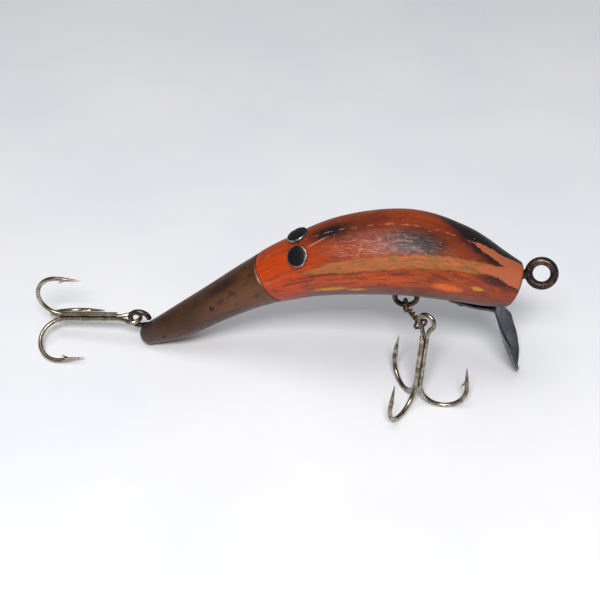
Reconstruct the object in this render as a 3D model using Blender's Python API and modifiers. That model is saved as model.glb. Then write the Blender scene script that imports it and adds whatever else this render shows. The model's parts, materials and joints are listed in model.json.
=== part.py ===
"""An old wooden crankbait: an arched wood body in a copper tail sheath, two trebles, a line tie and a dished lip.

Run with: blender --background --python part.py
The numbers below are millimetres and degrees. The meshes are made in metres.
The lure's own frame has +X from the tail to the nose and +Z up, with the body's plane of symmetry at y = 0.
"""

import math

import bmesh
import bpy
import numpy as np
from mathutils import Matrix, Vector

MM = 0.001

# How the lure stands: the body leans on its lip and tail tip, turned about its long axis.
BODY_ROLL_DEG = 8.0

# The body's centre line and radius, from the tail tip to the nose: x, z, radius.
SPINE = (
    (0.0, 3.1, 2.5),
    (8.0, 8.3, 3.8),
    (17.0, 15.6, 4.4),
    (26.0, 22.5, 5.4),
    (35.0, 28.0, 6.8),
    (45.7, 32.6, 8.5),
    (58.0, 34.6, 9.2),
    (68.0, 32.6, 8.3),
    (76.0, 29.2, 6.6),
    (81.0, 27.4, 5.2),
)
BELLY_FLAT = 0.94  # the section is cut flat underneath at this share of its radius
SECTION_SIDES = 26
BODY_RINGS = 22
TAIL_RINGS = 9

# The copper sheath over the tail, and the wood core inside it.
SHEET = 0.5
GAP = 0.3
SEAM_X = 29.0  # where the paint starts, on top of the tail
SEAM_SWEEP = 1.0  # how far the seam runs forward from the top to the belly
SHEATH_OPEN_DEG = 38.0  # half of the slot along the sheath's underside
PAINT_STEP = 0.1  # how far the painted wood stands proud of the sheath
CORE_START_X = 2.2

# Fasteners.
TACK_X, TACK_RADIUS, TACK_HEIGHT = 38.3, 2.4, 0.75
TACK_ANGLES_DEG = (("left", 82.0), ("right", 124.0))  # round the body; the top is 90
PIN_RADIUS, PIN_LENGTH = 0.4, 4.0
TACK_LIFT = 0.1  # a flat head on a round body stands a little further off
BRAD_PLACES = ((17.2, 26.0), (4.2, 4.0))  # x, angle above the side
BRAD_RADIUS, BRAD_HEAD_HEIGHT, BRAD_PIN_RADIUS, BRAD_LENGTH = 0.55, 0.35, 0.3, 2.2
SCREW_RADIUS, SCREW_HEAD_HEIGHT, SCREW_PIN_RADIUS, SCREW_LENGTH = 1.45, 1.15, 0.5, 4.5
STRAP_SCREW_X = 51.0
STRAP_ENDS_X, STRAP_WIDTH = (31.0, 53.5), 4.2

# Screw eyes.
TIE_CENTRE, TIE_RING, TIE_WIRE = (87.0, 31.0), 2.7, 0.9
TIE_ROOT, TIE_TWIST_DEG = (75.0, 28.2), -30.0
BELLY_EYE_X, BELLY_EYE_Z, BELLY_RING, BELLY_WIRE = 58.7, 21.0, 2.4, 0.6
BELLY_EYE_ROOT_Z = 31.5
TAIL_CENTRE, TAIL_RING, TAIL_WIRE = (-1.9, 8.0), 2.2, 0.6
TAIL_ROOT = (8.0, 8.0)
EYE_BORE_GAP = 0.3

# The lip: a flat tab screwed under the nose, then a bend and a dished blade.
LIP_SHEET = 0.6
LIP_TAB_START_X, LIP_TAB_END_X = 70.0, 78.4
LIP_TIP = (84.6, 1.0)
LIP_SCREW_X, LIP_SCREW_SIDE = 73.9, 1.9
LIP_WIDTHS = (  # share of the lip's length, half its width there
    (0.0, 2.6),
    (0.06, 3.5),
    (0.3, 3.6),
    (0.42, 3.0),
    (0.62, 4.9),
    (0.82, 4.6),
    (0.94, 3.0),
    (1.0, 0.7),
)
LIP_DISH = 1.9

# Treble hooks: three wires round one shank.
HOOK_WIRE, HOOK_BEND, HOOK_ARM, HOOK_SPLAY_DEG = 0.5, 5.1, 5.6, 7.0
HOOK_LENGTH, HOOK_EYE = 23.4, 1.8
SHANK_OFFSET = 0.66
POINT_RADIUS, POINT_TAPER = 0.07, 4.4
BARB_BACK, BARB_LENGTH, BARB_RISE = 3.5, 2.2, 1.35
BARB_ROOT = 0.5  # how deep the barb's cone starts inside the wire

# Where the trebles lie at rest, in the lure's frame.
BELLY_TREBLE_BASE = (62.2, -14.6, 1.2)
BELLY_TREBLE_AXIS = (0.055, 0.03, 0.998)
BELLY_SINGLE_DEG = -120.0
TAIL_TREBLE_AXIS = (0.99, -0.05, 0.12)
TAIL_EYE_SLACK = 0.62

# The link between the belly eye and its treble: one thin wire, doubled and twisted.
LINK_WIRE, LINK_LOOP, LINK_STRAND, LINK_TURNS = 0.3, 1.35, 0.38, 2.0
LINK_CONTACT_DEG = 222.0  # where the link holds the treble's eye, counter-clockwise from its right


def clear_scene():
    for old in list(bpy.data.objects):
        bpy.data.objects.remove(old, do_unlink=True)


def new_collection(name):
    collection = bpy.data.collections.new(name)
    bpy.context.scene.collection.children.link(collection)
    return collection


def material(name, colour, roughness, metallic):
    made = bpy.data.materials.new(name)
    made.use_nodes = True
    shader = made.node_tree.nodes["Principled BSDF"]
    shader.inputs["Base Color"].default_value = (*colour, 1.0)
    shader.inputs["Roughness"].default_value = roughness
    shader.inputs["Metallic"].default_value = metallic
    made.diffuse_color = (*colour, 1.0)
    return made


def empty(name, parent=None, location=(0, 0, 0), roll_deg=0.0):
    made = bpy.data.objects.new(name, None)
    made.empty_display_size = 4 * MM
    made.location = Vector(location) * MM
    made.rotation_euler = (math.radians(roll_deg), 0, 0)
    made.parent = parent
    PARTS.objects.link(made)
    return made


def place(name, data, finish, parent):
    made = bpy.data.objects.new(name, data)
    made.parent = parent
    data.materials.append(finish)
    PARTS.objects.link(made)
    return made


# ---- curves and lofts ----


def smooth(points, steps):
    """Evenly stepped points on a Catmull-Rom curve through the rows of points."""
    rows = np.array(points, float)
    rows = np.vstack([2 * rows[0] - rows[1], rows, 2 * rows[-1] - rows[-2]])
    out = []
    for t in np.linspace(0, len(points) - 1, steps):
        i = min(int(t), len(points) - 2)
        u = t - i
        a, b, c, d = rows[i : i + 4]
        bend = 2 * a - 5 * b + 4 * c - d
        twist = 3 * b - a - 3 * c + d
        out.append(0.5 * (2 * b + (c - a) * u + bend * u**2 + twist * u**3))
    return np.array(out)


SPINE_FINE = smooth(SPINE, 400)


def spine_at(x):
    """Centre, radius and the along direction of the body at x."""
    z = np.interp(x, SPINE_FINE[:, 0], SPINE_FINE[:, 1])
    radius = np.interp(x, SPINE_FINE[:, 0], SPINE_FINE[:, 2])
    ahead = np.interp(x + 0.5, SPINE_FINE[:, 0], SPINE_FINE[:, 1])
    behind = np.interp(x - 0.5, SPINE_FINE[:, 0], SPINE_FINE[:, 1])
    along = Vector((1.0 if 0.5 < x < SPINE[-1][0] - 0.5 else 0.5, 0, ahead - behind)).normalized()
    return Vector((x, 0, z)), radius, along


def section_point(x, angle, radius, shift=0.0):
    """A point on the body's section at x: angle 0 is the left side, a quarter turn is the top."""
    centre, _, along = spine_at(x)
    up = Vector((-along.z, 0, along.x))
    rise = max(math.sin(angle), -BELLY_FLAT)
    return centre + along * shift + Vector((0, 1, 0)) * radius * math.cos(angle) + up * radius * rise


def seam_x(angle):
    """The seam runs forward as it goes down each side."""
    from_top = abs(math.degrees(angle) % 360 - 90)
    from_top = min(from_top, 360 - from_top)
    return SEAM_X + SEAM_SWEEP * min(1.0, (from_top / 120.0) ** 2)


def loft(name, rings, closed, capped):
    """A mesh through rings that have the same number of points."""
    mesh = bmesh.new()
    rows = [[mesh.verts.new(Vector(p) * MM) for p in ring] for ring in rings]
    count = len(rows[0])
    for near, far in zip(rows, rows[1:]):
        for i in range(count if closed else count - 1):
            j = (i + 1) % count
            mesh.faces.new((near[i], near[j], far[j], far[i]))
    if capped:
        mesh.faces.new(rows[0][::-1])
        mesh.faces.new(rows[-1])
        bmesh.ops.recalc_face_normals(mesh, faces=mesh.faces)
    data = bpy.data.meshes.new(name)
    mesh.to_mesh(data)
    mesh.free()
    data.shade_smooth()
    return data


def wire_mesh(name, path, radius, radii=None, resolution=2):
    """A round wire along a path, as a welded mesh."""
    curve = bpy.data.curves.new(name + "_wire", "CURVE")
    curve.dimensions = "3D"
    curve.bevel_depth = radius * MM
    curve.bevel_resolution = resolution
    curve.use_fill_caps = True
    spline = curve.splines.new("POLY")
    spline.points.add(len(path) - 1)
    for i, point in enumerate(path):
        spline.points[i].co = (*(Vector(point) * MM), 1.0)
        spline.points[i].radius = radii[i] / radius if radii else 1.0
    holder = bpy.data.objects.new(name + "_wire", curve)
    bpy.context.scene.collection.objects.link(holder)
    bpy.context.view_layer.update()
    graph = bpy.context.evaluated_depsgraph_get()
    data = bpy.data.meshes.new_from_object(holder.evaluated_get(graph))
    data.name = name
    data.materials.clear()
    bpy.data.objects.remove(holder, do_unlink=True)
    mesh = bmesh.new()
    mesh.from_mesh(data)
    bmesh.ops.remove_doubles(mesh, verts=mesh.verts, dist=0.00001)
    bmesh.ops.recalc_face_normals(mesh, faces=mesh.faces)
    mesh.to_mesh(data)
    mesh.free()
    data.shade_smooth()
    return data


def arc(centre, right, up, radius, start_deg, end_deg, steps):
    angles = np.radians(np.linspace(start_deg, end_deg, steps))
    return [Vector(centre) + (Vector(right) * math.cos(a) + Vector(up) * math.sin(a)) * radius for a in angles]


def turned(name, profile, origin, axis, sides=16):
    """A turned solid: profile is (radius, height) from the bottom centre to the top centre, along axis."""
    mesh = bmesh.new()
    spin = Vector((0, 0, 1)).rotation_difference(Vector(axis)).to_matrix().to_4x4()
    where = Matrix.Translation(Vector(origin) * MM) @ spin
    rows = []
    for radius, height in profile:
        if radius == 0:
            rows.append([mesh.verts.new(where @ Vector((0, 0, height * MM)))])
            continue
        turns = [2 * math.pi * k / sides for k in range(sides)]
        ring = [Vector((radius * math.cos(a), radius * math.sin(a), height)) * MM for a in turns]
        rows.append([mesh.verts.new(where @ p) for p in ring])
    for near, far in zip(rows, rows[1:]):
        for i in range(sides):
            j = (i + 1) % sides
            corners = [near[i % len(near)], near[j % len(near)], far[j % len(far)], far[i % len(far)]]
            mesh.faces.new(list(dict.fromkeys(corners)))
    bmesh.ops.recalc_face_normals(mesh, faces=mesh.faces)
    data = bpy.data.meshes.new(name)
    mesh.to_mesh(data)
    mesh.free()
    data.shade_smooth()
    data.set_sharp_from_angle(angle=math.radians(40))
    return data


def bore(origin, axis, radius, length):
    """Adds a cutter for a fastener's pin, from origin along axis."""
    spot = Vector(origin)
    data = turned("bore", ((0, 0), (radius, 0), (radius, length), (0, length)), spot, axis, 12)
    made = bpy.data.objects.new("bore", data)
    made.hide_render = True
    made.display_type = "WIRE"
    made.parent = BODY
    CUTTERS.objects.link(made)


def drill(piece):
    """Cuts every bore out of a piece."""
    cut = piece.modifiers.new("bores", "BOOLEAN")
    cut.operand_type = "COLLECTION"
    cut.collection = CUTTERS
    cut.solver = "EXACT"


# ---- wood, sheath and strap ----


def wood_body():
    angles = [2 * math.pi * k / SECTION_SIDES for k in range(SECTION_SIDES)]
    core_cut = SHEET + GAP
    rings = []
    first = spine_at(CORE_START_X)[1] - core_cut
    for shift, share in ((-1.0, 0.35), (-0.75, 0.75), (0.0, 1.0)):
        rings.append([section_point(CORE_START_X, a, first * share, shift) for a in angles])
    for k in range(1, TAIL_RINGS):
        part = k / TAIL_RINGS
        ring = []
        for a in angles:
            x = CORE_START_X + (seam_x(a) + GAP - CORE_START_X) * part
            ring.append(section_point(x, a, spine_at(x)[1] - core_cut))
        rings.append(ring)
    for ahead, proud in ((0.0, -core_cut), (0.02, -0.25), (0.35, PAINT_STEP * 0.6), (1.2, PAINT_STEP)):
        ring = []
        for a in angles:
            x = seam_x(a) + GAP + ahead
            ring.append(section_point(x, a, spine_at(x)[1] + proud))
        rings.append(ring)
    nose_x = SPINE[-1][0]
    for k in range(1, BODY_RINGS):
        part = k / (BODY_RINGS - 1)
        ring = []
        for a in angles:
            x = seam_x(a) + 1.5 + (nose_x - seam_x(a) - 1.5) * part
            ring.append(section_point(x, a, spine_at(x)[1]))
        rings.append(ring)
    nose = SPINE[-1][2]
    for shift, share in ((0.45, 0.96), (0.8, 0.87), (0.95, 0.76)):
        rings.append([section_point(nose_x, a, nose * share, shift) for a in angles])
    piece = place("wood_body", loft("wood_body", rings, True, True), PAINT, BODY)
    drill(piece)


def tail_sheath():
    low = math.radians(-90 + SHEATH_OPEN_DEG)
    high = math.radians(270 - SHEATH_OPEN_DEG)
    angles = np.linspace(low, high, SECTION_SIDES - 4)
    rings = []
    for shift, share in ((-1.45, 0.42), (-1.3, 0.62), (-0.9, 0.85), (-0.35, 0.97)):
        rings.append([section_point(0.0, a, (SPINE[0][2] - SHEET) * share, shift) for a in angles])
    for k in range(TAIL_RINGS + 1):
        part = k / TAIL_RINGS
        ring = []
        for a in angles:
            x = seam_x(a) * part
            ring.append(section_point(x, a, spine_at(x)[1] - SHEET))
        rings.append(ring)
    piece = place("tail_sheath", loft("tail_sheath", rings, False, False), COPPER, BODY)
    shell = piece.modifiers.new("sheet", "SOLIDIFY")
    shell.thickness = SHEET * MM
    shell.offset = 1.0
    drill(piece)


def belly_strap():
    rings = []
    for x in np.linspace(*STRAP_ENDS_X, 16):
        centre, radius, along = spine_at(x)
        down = Vector((along.z, 0, -along.x))
        near_end = min(x - STRAP_ENDS_X[0], STRAP_ENDS_X[1] - x)
        half = STRAP_WIDTH / 2 * (1.0 if near_end > 0.1 else 0.7)
        upper = centre + down * (radius * BELLY_FLAT + GAP)
        lower = upper + down * SHEET
        side = Vector((0, half, 0))
        rings.append([upper - side, upper + side, lower + side, lower - side])
    data = loft("belly_strap", rings, True, True)
    data.shade_flat()
    drill(place("belly_strap", data, DARK_METAL, BODY))


# ---- fasteners ----


def headed_pin(name, seat, outward, head, pin_radius, pin_length, finish, sides=16):
    """A domed head whose underside is at seat, with a pin that goes the other way."""
    radius, height = head
    profile = (
        (0, -pin_length),
        (pin_radius, -pin_length + pin_radius),
        (pin_radius, 0),
        (radius * 0.97, 0),
        (radius, height * 0.3),
        (radius * 0.86, height * 0.72),
        (radius * 0.5, height * 0.95),
        (0, height),
    )
    place(name, turned(name, profile, seat, outward, sides), finish, BODY)
    bore(Vector(seat) + Vector(outward) * 0.6, -Vector(outward), pin_radius + GAP, pin_length + 1.1)


def surface_seat(x, angle_deg, lift):
    """A point above the body's surface, and the way out there."""
    angle = math.radians(angle_deg)
    centre, radius, along = spine_at(x)
    up = Vector((-along.z, 0, along.x))
    out = Vector((0, math.cos(angle), 0)) + up * math.sin(angle)
    return centre + out * (radius + lift), out


def eye_tacks():
    for side, angle in TACK_ANGLES_DEG:
        seat, out = surface_seat(TACK_X, angle, GAP + TACK_LIFT)
        head = (TACK_RADIUS, TACK_HEIGHT)
        headed_pin("eye_tack_" + side, seat, out, head, PIN_RADIUS, PIN_LENGTH, TACK_BLACK, 24)


def tail_brads():
    for end, (x, angle) in zip(("front", "rear"), BRAD_PLACES):
        for side, around in (("left", angle), ("right", 180 - angle)):
            seat, out = surface_seat(x, around, 0.12)
            head = (BRAD_RADIUS, BRAD_HEAD_HEIGHT)
            name = f"tail_brad_{end}_{side}"
            headed_pin(name, seat, out, head, BRAD_PIN_RADIUS, BRAD_LENGTH, DARK_METAL, 10)


def under_screw(name, x, side, below):
    """A round-head screw from below, with its head against a sheet."""
    centre, radius, along = spine_at(x)
    down = Vector((along.z, 0, -along.x))
    seat = centre + down * (radius * BELLY_FLAT + below) + Vector((0, side, 0))
    head = (SCREW_RADIUS, SCREW_HEAD_HEIGHT)
    headed_pin(name, seat, down, head, SCREW_PIN_RADIUS, SCREW_LENGTH, DARK_METAL)


def screw_eye(name, centre, root, ring, wire, finish, twist_deg=0.0):
    """A wire ring on a shank that goes from the ring's centre line towards root, in the plane of symmetry."""
    hub = Vector((centre[0], 0, centre[1]))
    foot = Vector((root[0], 0, root[1]))
    up = (hub - foot).normalized()
    across = Matrix.Rotation(math.radians(twist_deg), 3, up) @ Vector((-up.z, 0, up.x))
    neck = hub - up * (ring + wire * 1.5)
    path = [foot, foot.lerp(neck, 0.5), neck, hub - up * (ring + wire * 0.5) + across * wire * 0.35]
    path += arc(hub, across, up, ring, -68, 240, 30)
    place(name, wire_mesh(name, path, wire), finish, BODY)
    start = hub - up * ring
    bore(start, -up, wire + EYE_BORE_GAP, (start - foot).length + 0.5)


def tail_screw_eye():
    """The tail's eye leaves its shank along the ring's edge."""
    foot = Vector((TAIL_ROOT[0], 0, TAIL_ROOT[1]))
    hub = Vector((TAIL_CENTRE[0], 0, TAIL_CENTRE[1]))
    right = Vector((1, 0, 0))
    up = Vector((0, 0, 1))
    start_deg = -62.0
    ring = arc(hub, right, up, TAIL_RING, start_deg, start_deg - 292, 28)
    inside = foot.lerp(ring[0], 0.5)
    path = [foot, inside, foot.lerp(ring[0], 0.82)] + ring
    place("tail_screw_eye", wire_mesh("tail_screw_eye", path, TAIL_WIRE), BRONZE, BODY)
    out = (ring[0] - foot).normalized()
    bore(ring[0] + out * 0.5, -out, TAIL_WIRE + EYE_BORE_GAP, (ring[0] - foot).length + 1.5)


# ---- lip ----


def lip_path():
    """The lip's middle line from the tab to the tip of the blade."""
    points = []
    for x in np.linspace(LIP_TAB_START_X, LIP_TAB_END_X, 8):
        centre, radius, along = spine_at(x)
        down = Vector((along.z, 0, -along.x))
        points.append(centre + down * (radius * BELLY_FLAT + GAP + LIP_SHEET / 2))
    end = points[-1]
    tip = Vector((LIP_TIP[0], 0, LIP_TIP[1]))
    turn = end + Vector((1.9, 0, -1.1))
    points.append(end + Vector((1.1, 0, -0.35)))
    points.append(turn)
    for part in np.linspace(0.12, 1.0, 13):
        bow = math.sin(math.pi * part) * -0.7
        points.append(turn.lerp(tip, part) + Vector((bow, 0, 0)))
    return points


def diving_lip():
    middle = lip_path()
    lengths = [0.0]
    for a, b in zip(middle, middle[1:]):
        lengths.append(lengths[-1] + (b - a).length)
    shares = [length / lengths[-1] for length in lengths]
    widths = np.interp(shares, *np.array(LIP_WIDTHS).T)
    rings = []
    for i, point in enumerate(middle):
        before = middle[max(i - 1, 0)]
        after = middle[min(i + 1, len(middle) - 1)]
        along = (after - before).normalized()
        inward = Vector((-along.z, 0, along.x))
        dish = LIP_DISH * min(1.0, max(0.0, (shares[i] - 0.38) / 0.25))
        ring = []
        for across in np.linspace(-1, 1, 11):
            lift = dish * across**2 * widths[i] / 4.9
            ring.append(point + Vector((0, across * widths[i], 0)) + inward * lift)
        rings.append(ring)
    piece = place("diving_lip", loft("diving_lip", rings, False, False), LIP_METAL, BODY)
    sheet = piece.modifiers.new("sheet", "SOLIDIFY")
    sheet.thickness = LIP_SHEET * MM
    sheet.offset = 0.0
    drill(piece)


# ---- treble hooks ----


def hook_path(radial, along, length):
    """One hook's wire from the top of its shank, round the bend to the point. The bend's lowest point is at 0."""
    radial, along = Vector(radial), Vector(along)
    splay = math.radians(HOOK_SPLAY_DEG)
    rows = [(SHANK_OFFSET, h) for h in np.linspace(length, HOOK_BEND + 0.5, 3)]
    for a in np.linspace(math.pi, 2 * math.pi + splay, 15):
        out, rise = 1 + math.cos(a), 1 + math.sin(a)
        rows.append((SHANK_OFFSET + HOOK_BEND * out, HOOK_BEND * rise))
    last = rows[-1]
    for part in (0.25, 0.5, 0.75, 1.0):
        reach = HOOK_ARM * part
        rows.append((last[0] - math.sin(splay) * reach, last[1] + math.cos(splay) * reach))
    return [radial * r + along * h for r, h in rows]


def hook_radii(path):
    """The wire's radius along a hook, drawn down to the point at its end."""
    radii = []
    left = 0.0
    from_point = path[::-1]
    for i, spot in enumerate(from_point):
        left += (spot - from_point[i - 1]).length if i else 0.0
        share = min(1.0, left / POINT_TAPER)
        radii.append(POINT_RADIUS + (HOOK_WIRE - POINT_RADIUS) * share**0.8)
    return radii[::-1]


def barb_mesh(path, radial):
    """A thin cone that lifts off the inside of the hook behind its point."""
    tip = path[-1]
    back = (path[-2] - path[-1]).normalized()
    root = tip + back * BARB_BACK
    end = root + back * BARB_LENGTH - Vector(radial) * BARB_RISE
    length = (end - root).length
    outline = ((0, -BARB_ROOT), (0.3, 0), (0.24, length * 0.4), (0, length))
    return turned("barb", outline, root, (end - root).normalized(), 6)


def join_barbs(piece, barbs):
    for k, data in enumerate(barbs):
        cone = bpy.data.objects.new(f"barb_{piece.name}_{k}", data)
        cone.hide_render = True
        cone.display_type = "WIRE"
        cone.parent = piece
        CUTTERS_BARBS.objects.link(cone)
        weld = piece.modifiers.new(f"barb_{k}", "BOOLEAN")
        weld.operation = "UNION"
        weld.object = cone
        weld.solver = "EXACT"


def treble(prefix, parent, base, along, single_dir):
    """A double hook bent from one wire, with its eye, and a single hook in the groove of its shank."""
    along, single = Vector(along).normalized(), Vector(single_dir).normalized()
    base = Vector(base)
    third = math.radians(120)
    first = Matrix.Rotation(third, 3, along) @ single
    second = Matrix.Rotation(-third, 3, along) @ single
    eye_right = (first - second).normalized()
    eye_hub = along * (HOOK_LENGTH - HOOK_EYE) - single * SHANK_OFFSET / 2
    shank_top = HOOK_LENGTH - 2 * HOOK_EYE - 1.3
    one = hook_path(first, along, shank_top)
    two = hook_path(second, along, shank_top)
    loop = arc(eye_hub, eye_right, along, HOOK_EYE, -52, 232, 18)
    path = [base + p for p in one[::-1] + loop + two]
    radii = hook_radii(one)[::-1] + [HOOK_WIRE] * len(loop) + hook_radii(two)
    double_name = prefix + "_double_hook"
    double = place(double_name, wire_mesh(double_name, path, HOOK_WIRE, radii), NICKEL, parent)
    ends = [[base + p for p in one], [base + p for p in two]]
    join_barbs(double, [barb_mesh(ends[0], first), barb_mesh(ends[1], second)])
    three = [base + p for p in hook_path(single, along, shank_top - 0.6)]
    data = wire_mesh(prefix + "_single_hook", three, HOOK_WIRE, hook_radii(three))
    lone = place(prefix + "_single_hook", data, NICKEL, parent)
    join_barbs(lone, [barb_mesh(three, single)])


def treble_eye(base, along, single_dir):
    """The centre of a treble's eye, and its right and up directions."""
    along, single = Vector(along).normalized(), Vector(single_dir).normalized()
    third = math.radians(120)
    first = Matrix.Rotation(third, 3, along) @ single
    second = Matrix.Rotation(-third, 3, along) @ single
    hub = Vector(base) + along * (HOOK_LENGTH - HOOK_EYE) - single * SHANK_OFFSET / 2
    return hub, (first - second).normalized(), along


# ---- link ----


def belly_link(parent, top, bottom, ring_tangent, eye_tangent):
    """From the top loop down one strand, round the bottom loop and back up the other, the strands twisted."""
    down = (bottom - top).normalized()
    normal_top = (ring_tangent - down * ring_tangent.dot(down)).normalized()
    normal_bottom = (eye_tangent - down * eye_tangent.dot(down)).normalized()
    side_top = down.cross(normal_top)
    side_bottom = down.cross(normal_bottom)
    hub_top = top + down * 0.2
    hub_bottom = bottom - down * 0.2
    spread = 38.0
    loop_top = arc(hub_top, side_top, -down, LINK_LOOP, -90 + spread, 270 - spread - 16, 14)
    loop_bottom = arc(hub_bottom, side_bottom, down, LINK_LOOP, -90 + spread, 270 - spread, 13)
    start = hub_top + down * (LINK_LOOP + 0.55)
    end = hub_bottom - down * (LINK_LOOP + 0.55)
    turn = math.atan2(side_bottom.dot(down.cross(side_top)), side_bottom.dot(side_top))
    total = turn + 2 * math.pi * LINK_TURNS
    other = down.cross(side_top)
    strands = []
    for phase in (0.0, math.pi):
        strand = []
        for part in np.linspace(0, 1, 22):
            angle = phase + total * part
            offset = side_top * math.cos(angle) + other * math.sin(angle)
            strand.append(start.lerp(end, part) + offset * LINK_STRAND)
        strands.append(strand)
    path = loop_top[::-1] + strands[0] + loop_bottom + strands[1][::-1]
    place("belly_link", wire_mesh("belly_link", path, LINK_WIRE), RUST, parent)


def stand_on_floor():
    """Moves the whole lure so that the middle of its box's underside is the world's origin."""
    bpy.context.view_layer.update()
    graph = bpy.context.evaluated_depsgraph_get()
    low = Vector((math.inf,) * 3)
    high = Vector((-math.inf,) * 3)
    for piece in PARTS.objects:
        if piece.type != "MESH":
            continue
        shape = piece.evaluated_get(graph)
        for vertex in shape.data.vertices:
            spot = shape.matrix_world @ vertex.co
            low = Vector(map(min, low, spot))
            high = Vector(map(max, high, spot))
    STAND.location = Vector((-(low.x + high.x) / 2, -(low.y + high.y) / 2, -low.z))
    bpy.context.view_layer.update()


def build():
    tail_sheath()
    belly_strap()
    eye_tacks()
    tail_brads()
    under_screw("strap_screw", STRAP_SCREW_X, 0.0, 2 * GAP + SHEET)
    for side, across in (("left", LIP_SCREW_SIDE), ("right", -LIP_SCREW_SIDE)):
        under_screw("lip_screw_" + side, LIP_SCREW_X, across, 2 * GAP + LIP_SHEET)
    screw_eye("line_tie_screw_eye", TIE_CENTRE, TIE_ROOT, TIE_RING, TIE_WIRE, BRONZE, TIE_TWIST_DEG)
    belly_centre = (BELLY_EYE_X, BELLY_EYE_Z)
    belly_root = (BELLY_EYE_X, BELLY_EYE_ROOT_Z)
    screw_eye("belly_screw_eye", belly_centre, belly_root, BELLY_RING, BELLY_WIRE, BRONZE)
    tail_screw_eye()
    diving_lip()
    wood_body()

    roll = Matrix.Rotation(math.radians(BODY_ROLL_DEG), 3, "X")
    ring_low = roll @ Vector((BELLY_EYE_X, 0, BELLY_EYE_Z - BELLY_RING))
    single = Vector((math.cos(math.radians(BELLY_SINGLE_DEG)), math.sin(math.radians(BELLY_SINGLE_DEG)), 0))
    hub, right, up = treble_eye(BELLY_TREBLE_BASE, BELLY_TREBLE_AXIS, single)
    turn = math.radians(LINK_CONTACT_DEG)
    contact = hub + (right * math.cos(turn) + up * math.sin(turn)) * HOOK_EYE
    tangent = up * math.cos(turn) - right * math.sin(turn)
    link_pivot = empty("belly_link_pivot", STAND, ring_low)
    belly_link(link_pivot, Vector((0, 0, 0)), contact - ring_low, Vector((1, 0, 0)), tangent)
    treble_pivot = empty("belly_treble_pivot", link_pivot, contact - ring_low)
    treble("belly", treble_pivot, Vector(BELLY_TREBLE_BASE) - contact, BELLY_TREBLE_AXIS, single)

    ring_back = roll @ Vector((TAIL_CENTRE[0] - TAIL_RING, 0, TAIL_CENTRE[1]))
    along = Vector(TAIL_TREBLE_AXIS).normalized()
    tail_pivot = empty("tail_treble_pivot", STAND, ring_back)
    upright = (Vector((0, 0, 1)) - along * along.z).normalized()
    tail_base = along * (TAIL_EYE_SLACK - HOOK_LENGTH + HOOK_EYE) + upright * SHANK_OFFSET / 2
    treble("tail", tail_pivot, tail_base, along, upright)
    stand_on_floor()


clear_scene()
PARTS = new_collection("crankbait_lure")
CUTTERS = new_collection("bores")
CUTTERS_BARBS = new_collection("barbs")
PAINT = material("orange_paint", (0.42, 0.06, 0.02), 0.35, 0.0)
COPPER = material("copper_patina", (0.17, 0.07, 0.045), 0.38, 0.9)
NICKEL = material("worn_nickel", (0.33, 0.31, 0.29), 0.3, 1.0)
BRONZE = material("dark_bronze", (0.05, 0.04, 0.045), 0.4, 0.8)
RUST = material("rusty_wire", (0.11, 0.06, 0.045), 0.65, 0.5)
DARK_METAL = material("dark_steel", (0.06, 0.06, 0.065), 0.45, 0.9)
LIP_METAL = material("grey_lip", (0.1, 0.11, 0.13), 0.35, 0.95)
TACK_BLACK = material("black_tack", (0.01, 0.012, 0.016), 0.2, 0.3)
STAND = empty("lure_stand")
BODY = empty("lure_body", STAND, roll_deg=BODY_ROLL_DEG)
build()
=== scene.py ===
# %% [markdown]
# An old wooden crankbait, dressed for its portrait.
#
# The CAD frame already holds every piece in its true place: wood, copper sheath, wire eyes, lip and hooks.
# Blender's job here is the surface: worn paint over primer, brown copper, worn plating on round wire.
# The frame is loaded first, because every size below is worked out from it.

# %% Load the frame
import json
import math

import bmesh
import bpy
import numpy as np
from mathutils import Matrix, Vector


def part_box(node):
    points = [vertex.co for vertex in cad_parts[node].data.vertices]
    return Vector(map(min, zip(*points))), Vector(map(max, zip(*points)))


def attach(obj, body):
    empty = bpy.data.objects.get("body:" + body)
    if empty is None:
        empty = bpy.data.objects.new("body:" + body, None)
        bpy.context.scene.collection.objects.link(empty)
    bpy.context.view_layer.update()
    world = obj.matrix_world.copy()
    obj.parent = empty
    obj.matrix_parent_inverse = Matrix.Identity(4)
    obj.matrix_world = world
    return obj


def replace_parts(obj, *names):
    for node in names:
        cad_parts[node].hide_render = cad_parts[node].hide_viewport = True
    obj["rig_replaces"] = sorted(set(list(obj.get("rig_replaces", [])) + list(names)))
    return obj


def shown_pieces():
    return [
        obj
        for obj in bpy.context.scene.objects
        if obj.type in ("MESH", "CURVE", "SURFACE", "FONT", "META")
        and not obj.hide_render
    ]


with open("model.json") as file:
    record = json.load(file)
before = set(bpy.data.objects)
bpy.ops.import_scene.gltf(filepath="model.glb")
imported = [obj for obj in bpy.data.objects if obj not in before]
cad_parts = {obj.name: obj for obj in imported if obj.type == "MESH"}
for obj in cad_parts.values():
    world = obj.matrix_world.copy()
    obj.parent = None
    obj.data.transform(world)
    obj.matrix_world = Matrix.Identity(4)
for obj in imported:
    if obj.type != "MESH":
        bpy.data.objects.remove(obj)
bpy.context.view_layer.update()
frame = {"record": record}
MM = 0.001

# %% [markdown]
# The lure leans on its lip and tail, so its own axes are turned a little from the world's.
# Shapes are easier to write in the lure's own axes, with the body's plane of symmetry at y = 0.
# One matrix carries them to the world. Its place comes from the hinge where the link hangs on the belly eye.

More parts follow.
